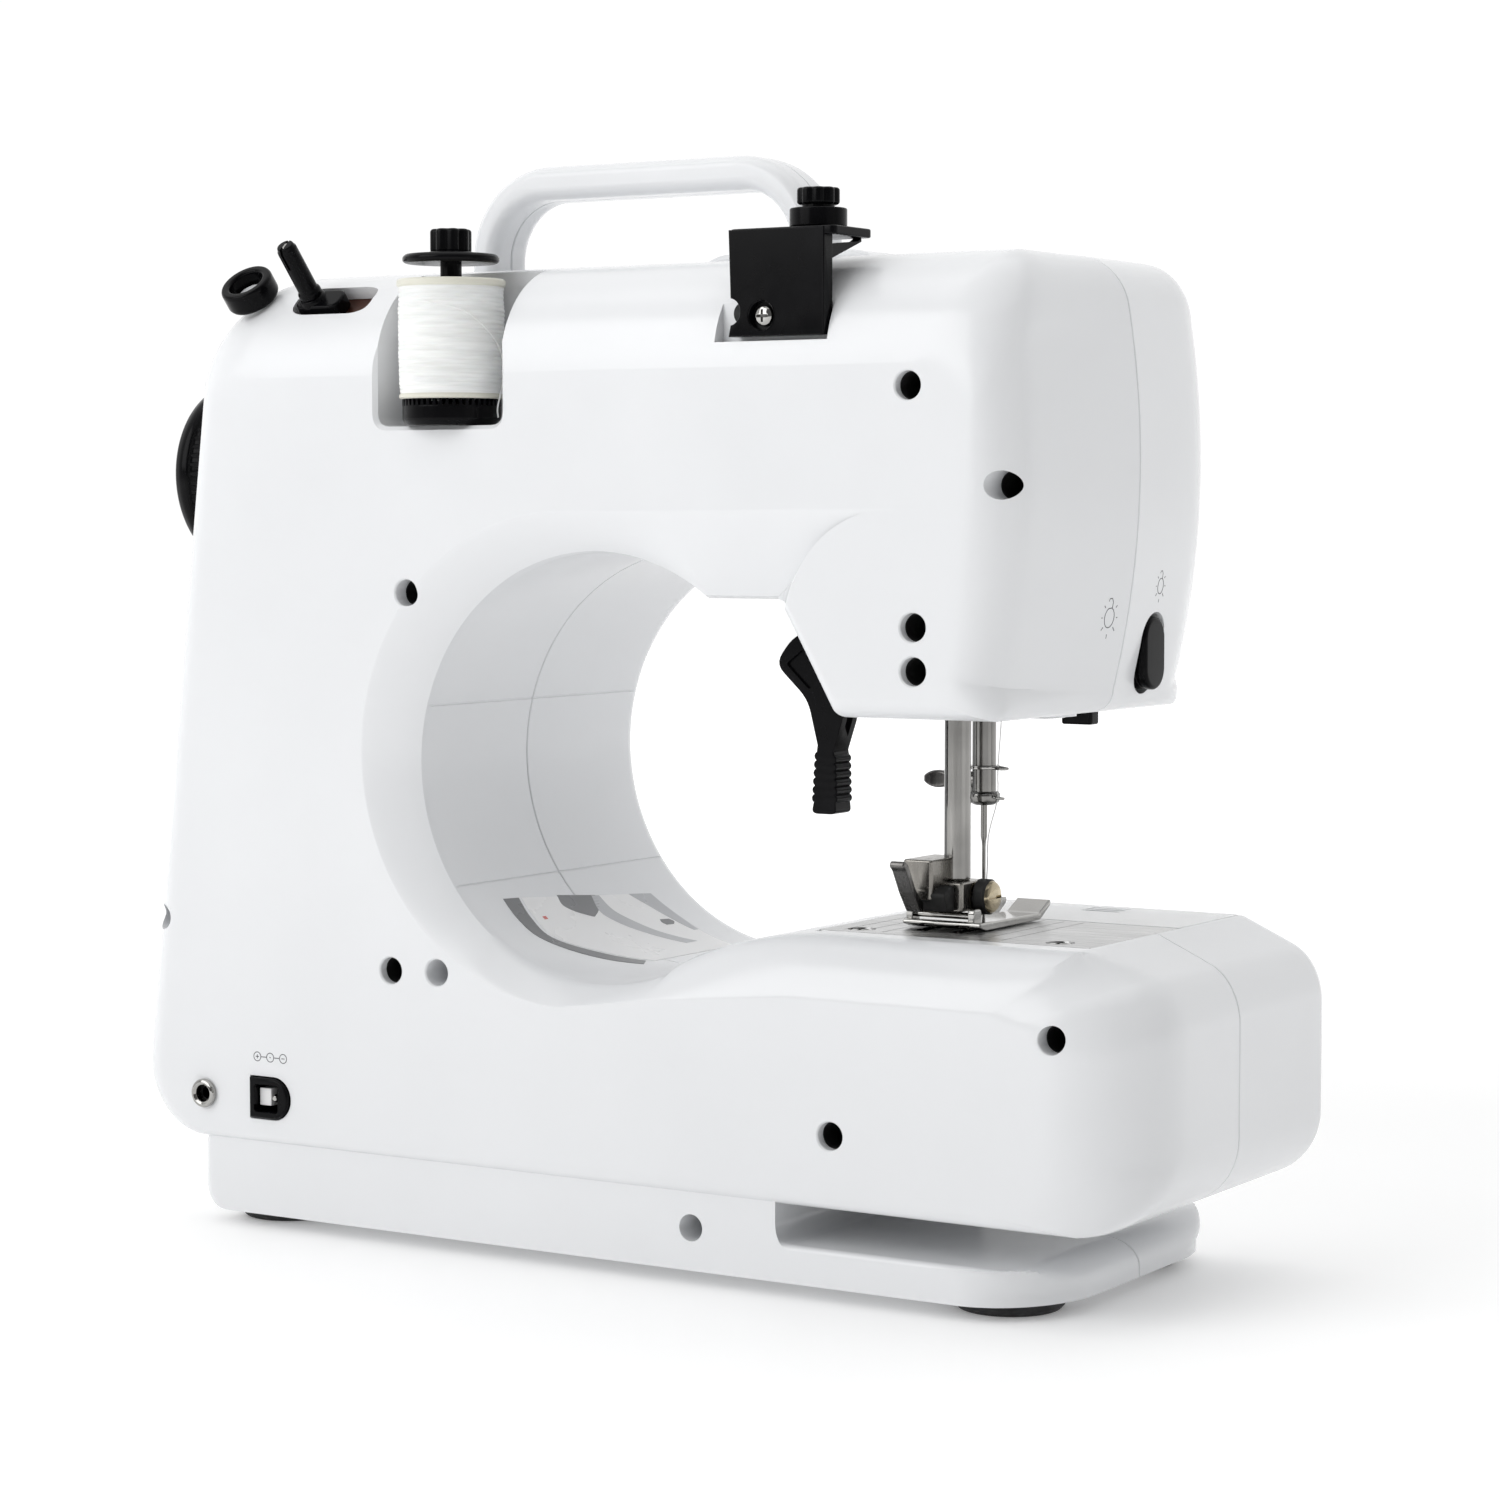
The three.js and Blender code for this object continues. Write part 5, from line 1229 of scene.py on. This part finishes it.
def needle():
    x, y = NEEDLE
    profile = [(0, 82), (0.07, 82.3), (0.2, 83), (0.36, 84.1), (0.42, 85), (0.42, 98.4), (0.5, 99.6),
               (0.75, 100.8), (0.75, 109.2), (0, 109.2)]
    body = turned("needle", profile, "z", x, y, 32)
    eye = prism("eye", pill(x, 86, 0.34, 1.3, 6), "y", y - 1, y + 1)
    groove = block("groove", (x - 0.12, y - 0.6, 87.2), (x + 0.12, y - 0.3, 98))
    return cut(body, eye, groove)


def needle_thread():
    x, y = NEEDLE
    path = [(x - 5.0, y + 0.6, 150), (x - 4.8, y + 0.6, 130), (x - 3.9, y + 0.6, 117),
            (x - 3.9, y + 0.6, 112), (x - 3.6, y + 0.6, 108.6), (x - 1.35, y + 0.3, 101),
            (x - 1.1, y + 0.3, 94), (x - 0.8, y + 0.5, 89), (x - 0.1, y + 0.6, 86.2),
            (x, y - 0.2, 86), (x - 0.1, y - 0.6, 84.4)]
    return tube("thread", smooth_path(path, 6), 0.13, 8)


def presser_bar():
    return spun("bar", [(0, 91.8), (2.7, 91.8), (3, 92.2), (3, 136), (5.4, 136), (5.4, 139.7), (3, 139.7),
                        (3, 160), (0, 160)], "z", *BAR, 0.2, 48)


def presser_spring():
    """A coil between the collar and the head."""
    turns, low, high = 7, 140.5, 155.5
    path = []
    for k in range(turns * 20 + 1):
        angle = tau * k / 20
        path.append((BAR[0] + 4.4 * cos(angle), BAR[1] + 4.4 * sin(angle),
                     low + (high - low) * k / (turns * 20)))
    return tube("spring", path, 0.55, 8)


def presser_ankle():
    x, y = BAR
    clasp = soft_block("clasp", (x + 0.6, y - 3.4, 88), (x + 8, y + 10.8, 97), 0.9, 0.5)
    shank = soft_block("shank", (x - 4.5, y - 5.4, 85.2), (x + 8, y + 6, 91.8), 0.9, 0.5)
    whole = joined(clasp, shank)
    window = prism("window", filleted(box_outline(y + 6.8, y + 9.6, 89.8, 92.6), 0.4), "x", x + 4, x + 10)
    pin_hole = rod("pin_hole", "x", y + 8.2, 95, 0.8, x + 4, x + 10, 20)
    mark = block("mark", (x + 2.2, y + 10.2, 90), (x + 6.4, y + 12, 90.4))
    return cut(whole, window, pin_hole, mark)


def ankle_tongue():
    """The snap-on foot's tongue inside the ankle, in the near-black painted-shade colour that darkens the
    ankle's inside.
    """
    x, y = BAR
    side = filleted([(y + 5.9, 85.4), (y + 9.2, 85.4), (y + 10.9, 89.4), (y + 7, 91.4), (y + 5.9, 90.4)], 0.8)
    return pressed("tongue", side, "x", x - 2.6, x + 6.4, 0.3)


# Painted shade: a near-black ring round the edge of the ankle screw's head.
def ankle_screw_shade_rim():
    x, y = BAR
    ring = [(3.55, x - 4.9), (4.0, x - 4.9), (4.0, x - 7.4), (3.55, x - 7.9)]
    return hoop("rim", ring, "x", y - 2, SHANK_SCREW_Z, 48)


def ankle_screw():
    x, y = BAR
    head = spun("head", [(0, x - 4.7), (3.8, x - 4.7), (3.8, x - 7.6), (3.2, x - 8.6), (1.6, x - 8.8),
                         (0, x - 8.8)], "x", y - 2, SHANK_SCREW_Z, 0.5, 48)
    return cut(head, block("slot", (x - 9.5, y - 2 - 3, 87.85), (x - 7.9, y - 2 + 3, 88.55)))


def presser_foot():
    x, low = BAR[0], ARM_TOP + 0.3
    side = filleted([(-9, low + 3), (-4, low), (22, low), (25, low + 0.9), (25, low + 1.9),
                     (-3.4, low + 1.6), (-9, low + 4.4)], 0.7)
    sole = pressed("sole", side, "x", x - 10, x + 10, 0.35)
    slot = pressed("slot", filleted(box_outline(x - 1.6, x + 1.6, -14, 9), 1.4), "z", low - 1, low + 7, 0.1)
    lugs = [pressed("lug", filleted(box_outline(19.6, 23.2, low + 1, 86), 1.2), "x", x0, x0 + 1.6, 0.25)
            for x0 in (x - 7.4, x + 8.4)]
    for lug in lugs:
        sole = joined(sole, lug)
    return joined(cut(sole, slot), rod("pin", "x", 21, 84.2, 0.8, x - 6.9, x + 9.1, 24))


def foot_release():
    back = BAR[1] + 11.3
    lever = filleted([(back, 85.5), (back + 1.8, 85.5), (back + 5.2, 90), (back + 8.4, 95.4),
                      (back + 9.6, 96.2), (back + 9.0, 97.6), (back + 7.4, 97),
                      (back + 3.6, 90.8), (back, 87.4)], 0.7)
    return pressed("release", lever, "x", BAR[0] + 2.2, BAR[0] + 5.8, 0.35)


# ---------- presser lifter ----------


def serrated(start, end, count, height):
    """A straight edge with rounded ribs that stand out to its right."""
    (x0, z0), (x1, z1) = start, end
    length = hypot(x1 - x0, z1 - z0)
    out = ((z1 - z0) / length, -(x1 - x0) / length)
    points = []
    for i in range(count * 6 + 1):
        t = i / (count * 6)
        rise = height * abs(sin(pi * t * count)) ** 0.7
        points.append((x0 + (x1 - x0) * t + out[0] * rise, z0 + (z1 - z0) * t + out[1] * rise))
    return points


def presser_lifter():
    x, z, y0, y1 = -66, 150, 24, 31
    upper = filleted([(x, z + 4.4), (-43.7, 146.4), (-39, 140.2), (-47.6, 132.2), (-50.2, 122)], 3,
                     closed=False)
    lower = filleted([(-54.4, 120.8), (-57.5, 130.2), (-50.5, 138.5), (x, z - 4.4)], 3, closed=False)
    grip_right = serrated((-50.0, 120.5), (-49.2, 109), 6, -0.55)
    grip_left = serrated((-54.9, 109), (-54.6, 119.8), 6, -0.55)
    toe = filleted([(-49.2, 109), (-48.6, 106.4), (-55.2, 106.4), (-54.9, 109)], 1.8, closed=False)
    outline = upper + grip_right + toe[1:-1] + grip_left + lower
    arm = pressed("arm", outline, "y", y0, y1, 0.3)
    hub = rod("hub", "y", x, z, 4.6, y0, y1, 40)
    tools = [
        rod("bore", "y", x, z, 1.6, y0 - 1, y1 + 1, 24),
        prism("panel", filleted([(-46.4, 143.6), (-42, 140.2), (-48.2, 134.4), (-51, 138.2)], 0.8), "y",
              y1 - 0.7, y1 + 1),
        prism("channel", filleted([(y0 + 2.2, 122), (y1 - 2.2, 122), (y1 - 2.2, 133), (y0 + 2.2, 133)], 1.2),
              "x", -62, -55.4),
    ]
    return cut(joined(arm, hub), *tools)


# ---------- handwheel, dials, buttons, lamp switch ----------

DIAL_FRONT = -60.8


def handwheel():
    grip = pressed("grip", lobed(*AXLE, 22.8, 22.0, 60, 0.6), "x", 120.5, 137, 0.5)
    face = [(0, 134), (22.4, 134), (22.4, 136.4), (23.5, 137.2), (23.6, 139.2), (22.8, 141.4), (20.4, 143),
            (17.8, 142.7), (16.6, 141.4),
            (9.2, 141.4), (8.2, 142.6), (0, 142.8)]
    flange = spun("flange", face, "x", *AXLE, 0.8, 120)
    recess = [(9, 119), (19.6, 119), (19.6, 132), (9, 132)]
    tools = [hoop("recess", recess, "x", *AXLE, 96), rod("bore", "x", *AXLE, 3.8, 115, 137.5, 40)]
    return cut(joined(grip, flange), *tools)


def dial(x, z, r, ribs):
    front = DIAL_FRONT
    knob = pressed("knob", lobed(x, z, r, r - 0.8, ribs, 0.5, 10), "y", front + 1.4, FRONT - 0.3, 0.7, 4)
    face = spun("face", [(0, front), (r - 2.6, front), (r - 1.8, front + 0.9), (r - 1.6, front + 2.4),
                         (0, front + 2.4)], "y", x, z, 0.5)
    shank = rod("shank", "y", x, z, 3.8, FRONT - 1, -41.3, 24)
    return joined(knob, face, shank)


def dial_marks(x, z, r, count, span):
    """A pointer and short ticks round the face of a dial."""
    marks = []
    for k in range(count):
        angle = radians(90 - span / 2 + span * k / (count - 1))
        outer = r - 3.2
        inner, half = (r - 7.2, 0.45) if k == count // 2 else (r - 5, 0.25)
        side = (-sin(angle) * half, cos(angle) * half)
        a, b = [(x + reach * cos(angle), z + reach * sin(angle)) for reach in (inner, outer)]
        ends = ((a, 1), (b, 1), (b, -1), (a, -1))
        corners = [(end[0] + way * side[0], end[1] + way * side[1]) for end, way in ends]
        marks.append(prism("mark", corners, "y", DIAL_FRONT - 0.04, DIAL_FRONT + 0.2))
    return gathered("marks", marks)


def push_button(x, z):
    profile = [(0, FRONT + 1.8), (6, FRONT + 1.8), (6, FRONT - 2.8), (5.3, FRONT - 3.8), (3, FRONT - 4),
               (0, FRONT - 3.8)]
    return spun("button", profile, "y", x, z, 0.6)


def lamp_rocker():
    base = pressed("base", pill(*ROCKER, 9.6, 16.2, 24), "x", -107.5, -112.2, 0.3)
    neck = prism("neck", pill(*ROCKER, 8.8, 15.4, 24), "x", -112.6, -111.8)
    cap = pressed("cap", pill(*ROCKER, 10, 16.6, 24), "x", -112.3, -115, 0.9, 5)
    return joined(base, neck, cap)


# ---------- sewing surface ----------

PLATE_UNDER, PLATE_TOP = 78.8, 81
PLATE_SCREWS_X, PLATE_SCREWS_Y = (-112, -62), 31


def needle_plate():
    outline = filleted(box_outline(-122, -54, -7.85, 37), 1.2)
    plate = pressed("plate", outline, "z", PLATE_UNDER, PLATE_TOP, 0.25)
    tools = [pressed("needle_slot", filleted(box_outline(-82, -76, 4, 6), 0.9), "z", 77, 83, 0.1)]
    tools += [block("dog_slot", (-79 + dx - 0.2, 8.4, 77), (-79 + dx + 3.2, 27, 83)) for dx in (-6, 3)]
    tools += [block("seam_line", (-79 + side * reach - 0.15, -6, 80.9), (-79 + side * reach + 0.15, 34, 82))
              for side in (-1, 1) for reach in (10, 15, 20)]
    tools += [spun("screw_seat", [(0, 80.2), (3.1, 80.2), (3.4, 82), (0, 82)],
                   "z", x, PLATE_SCREWS_Y, 0.1, 32) for x in PLATE_SCREWS_X]
    return cut(plate, *tools)


def bobbin_window():
    outline = filleted(box_outline(-122, -54, -41, -8.15), 1.6)
    plate = pressed("plate", outline, "z", PLATE_UNDER, PLATE_TOP, 0.3)
    dips = [soft_block("dip", (-96, -37 + 3 * k, 80.4), (-86, -35.6 + 3 * k, 82), 0.6, 0.1) for k in range(3)]
    return cut(plate, *dips)


def take_up_lever():
    y, z, x0, x1 = -22, 178, -73, -71
    arm = [(y + 1, z - 3.4), (y - 14, z + 8), (y - 27, z + 24), (y - 31, z + 32.4), (y - 35, z + 30),
           (y - 30, z + 20), (y - 18, z + 3)]
    blade = pressed("blade", filleted(arm, 2.2), "x", x0, x1, 0.3)
    hub = rod("hub", "x", y, z, 4.5, x0, x1, 32)
    eye = prism("eye", circle(y - 31, z + 29.2, 1.0, 24), "x", x0 - 1, x1 + 1)
    return cut(joined(blade, hub), eye)


# ---------- printed marks and the tunnel label ----------


def on_shell(shell, origin, heading):
    """Where a ray that starts outside the machine meets a cover, in millimetres."""
    hit, place, _, _ = shell.ray_cast(Vector(origin) * MM, Vector(heading))
    return place / MM if hit else None


def printed(name, strokes, shell, heading, half_width=0.16):
    """Thin ink lines that follow the surface of a cover. Each stroke lists points outside the surface."""
    lines = []
    for stroke in strokes:
        path = []
        for a, b in zip(stroke, stroke[1:]):
            steps = max(2, int((Vector(b) - Vector(a)).length / 0.4))
            path += [Vector(a).lerp(Vector(b), k / steps) for k in range(steps)]
        path.append(Vector(stroke[-1]))
        met = [on_shell(shell, p, heading) for p in path]
        if all(p is not None for p in met):
            lines.append(tube(name, [p + Vector(heading) * half_width * 0.6 for p in met], half_width, 6))
    return gathered(name, lines)


def lamp_sign(y, z, x=-160, size=1.0):
    """A glowing bulb seen from the side, with rays, in the YZ plane."""
    def at(dy, dz):
        return (x, y + dy * size, z + dz * size)

    glass = [at(1.75 * cos(radians(a)), -0.7 + 2.2 * sin(radians(a))) for a in range(-250, 71, 20)]
    neck = [at(-0.6, 1.4), at(-0.7, 2.8), at(-0.2, 3.6), at(0.7, 3.5), at(0.9, 2.9)]
    cap = [at(-0.7, 1.5), at(0.8, 1.3)]
    rays = []
    for angle, *reaches in ((-90, 3.2, 4.0), (-45, 2.6, 3.4), (0, 2.5, 2.9), (45, 2.7, 3.3), (135, 2.7, 3.3),
                            (180, 2.5, 3.0), (225, 2.6, 3.6)):
        rays.append([at(r * cos(radians(angle)), -0.7 + r * 1.15 * sin(radians(angle))) for r in reaches])
    return [glass, neck, cap, *rays]


def polarity_sign(x, z, y=BACK + 20):
    def ring(cx, r):
        return [(cx + r * cos(tau * k / 16), y, z + r * sin(tau * k / 16)) for k in range(17)]

    return [ring(x - 4, 1.1), ring(x, 1.1), ring(x + 4, 1.1),
            [(x - 2.9, y, z), (x - 1.1, y, z)], [(x + 1.1, y, z), (x + 2.9, y, z)],
            [(x - 4.5, y, z), (x - 3.5, y, z)], [(x + 3.5, y, z), (x + 4.5, y, z)],
            [(x + 4, y, z - 0.5), (x + 4, y, z + 0.5)], [(x - 0.2, y, z), (x + 0.2, y, z)]]


def tunnel_patch(name, left, right, lift):
    """A thin sheet on the wall of the work opening between two edges of [angle, y] points."""
    x, z, r = THROAT

    def sheet(radius):
        rows = []
        for (a0, y0), (a1, y1) in zip(fine_edge(left), fine_edge(right)):
            row = [(a0 + (a1 - a0) * k / 10, y0 + (y1 - y0) * k / 10) for k in range(11)]
            rows.append([(x + radius * cos(radians(a)), y, z + radius * sin(radians(a))) for a, y in row])
        return rows

    rings = [list(top) + list(reversed(bottom)) for top, bottom in zip(sheet(r - lift), sheet(r + 0.3))]
    return skin(name, rings)


def fine_edge(edge):
    """An edge of a label as a smooth curve."""
    return [(p.x, p.y) for p in smooth_path([(a, y, 0) for a, y in edge], 6)]


# Edges of the printed areas, as the angle round the work opening and Y.
PANEL_EDGES = ([(-42.5, 26), (-50, 27), (-58.5, 27), (-69, 18), (-79, 9)],
               [(-48, -25), (-53, -26), (-60, -27), (-66, -27), (-79, -27)])
STRIP_EDGES = ([(-42, 33), (-50, 33.4), (-58.5, 32), (-72, 22.5), (-80, 15)],
               [(-42.4, 27), (-50, 28.4), (-58.5, 28.2), (-69, 19.4), (-78, 11.5)])
DISC_EDGES = ([(-43.5, 12), (-47, 12.8), (-50, 10.4), (-53, 5.6)],
              [(-45.5, -2.5), (-48, -2), (-51, 1), (-53.2, 4.8)])
BAND_EDGES = ([(-45.4, -1), (-52, 1), (-58, -2), (-64, -7), (-72, -14)],
              [(-45.8, -4), (-52, -4.5), (-58, -8), (-64, -12), (-72, -19)])
EDGE_BAND = ([(-47, -16), (-53, -20), (-60, -23), (-66, -25)],
             [(-48, -25), (-53, -26), (-60, -27), (-66, -27)])
SPOT_EDGES = ([(-50, 24), (-51.2, 24)], [(-50, 22.6), (-51.2, 22.6)])
LEAF_EDGES = ([(-58.6, -18), (-60, -17.4), (-61.4, -18)], [(-59, -21.6), (-60.4, -22.4), (-61.6, -21)])


# ---------- assembly ----------

add_camera()
add_stage()

WHITE = plastic("white_gloss_plastic", (0.80, 0.81, 0.825), 0.2)
BLACK = black_gloss("black_gloss_plastic")
RUBBER = rubber("black_rubber")
STEEL = metal("ground_steel", (0.27, 0.265, 0.255), 0.16, (1, 1, 0.05), 0.3)
CHROME = metal("chrome_plate", (0.42, 0.415, 0.4), 0.1, (1, 1, 1), 0.15)
ZINC = metal("zinc_plate", (0.42, 0.43, 0.44), 0.4, (1, 0.1, 0.1))
PLATE_STEEL = metal("brushed_plate", (0.5, 0.5, 0.5), 0.3, (0.04, 1, 1), 0.08, 0.000005)
WARM_STEEL = metal("worn_nickel", (0.34, 0.325, 0.30), 0.26, (1, 1, 0.3), 0.35)
BRONZE = metal("polished_screw", (0.5, 0.43, 0.3), 0.14, (1, 1, 1), 0.3)
DARK_STEEL = metal("oiled_steel", (0.16, 0.155, 0.15), 0.24, (1, 1, 0.1), 0.3)
CLEAR = clear_plastic("clear_plastic")
THREAD = thread_fibre("sewing_thread")
CREAM = plastic("cream_plastic", (0.72, 0.71, 0.62), 0.4)
BOARD = circuit_board("circuit_board")

BROWN = plastic("brown_plastic", (0.075, 0.022, 0.01), 0.45, variation=0.3)
# Near-black colour for painted shade: screw holes, the guide seat, the inside of the ankle and round the
# ankle screw's head.
SHADE = rubber("painted_shade_black", (0.006, 0.006, 0.006))
INK = plastic("grey_ink", (0.09, 0.09, 0.1), 0.5)
LABEL = plastic("label_film", (0.87, 0.87, 0.87), 0.28, texture=0.000006)
LABEL_GREY = plastic("label_film_grey", (0.2, 0.205, 0.215), 0.28, texture=0.000006, variation=0.4)
LABEL_PALE = plastic("label_film_pale", (0.5, 0.51, 0.53), 0.28, texture=0.000006, variation=0.12)
LABEL_RED = plastic("label_film_red", (0.6, 0.12, 0.1), 0.3, texture=0.000006)

BY_SLOT = {
    "white_shell": WHITE, "black_plastic": BLACK, "rubber": RUBBER, "steel": STEEL, "chrome": CHROME,
    "zinc": ZINC, "clear": CLEAR, "thread": THREAD, "cream": CREAM, "board": BOARD,
}


def dress_frame():
    """Gives every CAD node the material of its slot."""
    for entry in frame["record"]["subparts"]:
        slots = frame["nodes"][entry["node"]].material_slots
        for material_slot in slots:
            material_slot.material = BY_SLOT[entry["material_slot"]]


dress_frame()
rear_shell = refined("rear_cover", rear_cover())
front_shell = refined("front_cover", front_cover())
refined("carry_handle_rear", handle_half(SEAM + GAP / 2, 13, 16))
refined("carry_handle_front", handle_half(SEAM - GAP / 2, -3, -6))
for node in SLOT_OF:
    if node.startswith("foot_") and node != "foot_release":
        refined(node, foot(node))

refined("thread_guide_bracket", guide_bracket())
added("seat_painted_shade", seat_painted_shade(), "frame", "white_shell", SHADE)
refined("guide_screw", cross_head("screw", "y", *GUIDE_SCREW, BACK - 0.35, 2.25))
refined("pretension_knob", pretension_knob())

refined("spool_pin", spool_base())
refined("spool_core", spool_core())
refined("thread_winding", thread_winding())
added("loose_strand", loose_strand(), "spool", "thread")
refined("spool_cap", spool_cap())

refined("winder_arm", winder_arm())
refined("winder_spindle", winder_spindle())
added("winder_pin_end", winder_pin_end(), "winder_pin", "chrome")
added("winder_floor", winder_floor(), "frame", "black_plastic", BROWN)
refined("winder_stop_ring", stop_ring())

refined("dc_jack", inlet_socket())
added("inlet_contacts", inlet_contacts(), "frame", "chrome")
added("inlet_painted_light", inlet_painted_light(), "frame", "black_plastic", LABEL)
refined("pedal_jack", pedal_socket())
added("pedal_insulator", pedal_depth(), "frame", "black_plastic")
# Painted shade: near-black sleeves darken the deeper screw holes.
for index, ((x, z, y), depth) in enumerate(zip(SCREW_HOLES, SHADE_SLEEVE_DEPTHS)):
    if depth:
        added(f"screw_shade_sleeve_{index + 1}", well_shade_sleeve(x, z, y, depth), "frame", "black_plastic", SHADE)
    added(f"cover_screw_{index + 1}", cross_head("screw", "y", x, z, y + SCREW_FLOOR + 2.2, 2.8), "frame",
          "zinc")

refined("lamp_lens", lens())
added("lamp_rim", lens_rim(), "frame", "white_shell")
added("bar_plate", bar_plate(), "frame", "white_shell", STEEL)
refined("thread_cutter", cutter())
added("cutter_blade", cutter_blade(), "frame", "chrome")
refined("needle_plate", needle_plate(), PLATE_STEEL)
for index, x in enumerate(PLATE_SCREWS_X):
    screw = cross_head("screw", "z", x, PLATE_SCREWS_Y, PLATE_TOP, 3)
    added(f"plate_screw_{index + 1}", screw, "frame", "chrome")
refined("bobbin_cover", bobbin_window())

refined("needle_bar", needle_bar())
added("bar_guides", bar_guide(), "needle_carrier", "chrome")
refined("needle_clamp", needle_clamp())
refined("clamp_screw", clamp_screw(), DARK_STEEL)
refined("needle", needle())
added("needle_thread", needle_thread(), "needle_carrier", "thread")
refined("presser_bar", presser_bar())
refined("presser_spring", presser_spring())
refined("presser_ankle", presser_ankle(), WARM_STEEL)
added("ankle_tongue", ankle_tongue(), "presser", "steel", SHADE)
refined("ankle_screw", ankle_screw(), BRONZE)
added("ankle_screw_shade_rim", ankle_screw_shade_rim(), "shank_screw", "steel", SHADE)
refined("presser_foot", presser_foot())
refined("foot_release", foot_release(), DARK_STEEL)
refined("presser_lifter", presser_lifter())
refined("take_up_lever", take_up_lever())

refined("handwheel", handwheel())
refined("tension_dial", dial(*TENSION, 11, 18))
added("tension_marks", dial_marks(*TENSION, 11, 9, 250), "tension", "black_plastic", INK)
refined("stitch_dial", dial(*STITCH, 20, 28))
added("stitch_marks", dial_marks(*STITCH, 20, 15, 330), "stitch", "black_plastic", INK)
refined("power_button", push_button(POWER_X, BUTTON_Z))
refined("speed_button", push_button(SPEED_X, BUTTON_Z))
refined("lamp_switch", lamp_rocker())

added("lamp_sign_back", printed("sign", lamp_sign(12, 152), rear_shell, (1, 0, 0)), "frame", "black_plastic",
      INK)
added("lamp_sign_side", printed("sign", lamp_sign(-9.5, 158.5, size=0.8), front_shell, (1, 0, 0)), "frame",
      "black_plastic", INK)
added("polarity_sign", printed("sign", polarity_sign(90.5, 42.5), rear_shell, (0, -1, 0)), "frame",
      "black_plastic", INK)
for name, edges, lift, finish in (
    ("label_panel", PANEL_EDGES, 0.08, LABEL),
    ("label_strip", STRIP_EDGES, 0.1, LABEL_GREY),
    ("label_disc", DISC_EDGES, 0.12, LABEL_GREY),
    ("label_band", BAND_EDGES, 0.12, LABEL_PALE),
    ("label_edge", EDGE_BAND, 0.12, LABEL_PALE),
    ("label_spot", SPOT_EDGES, 0.12, LABEL_RED),
    ("label_leaf", LEAF_EDGES, 0.12, LABEL_GREY),
):
    added(name, tunnel_patch(name, *edges, lift), "frame", "white_shell", finish)
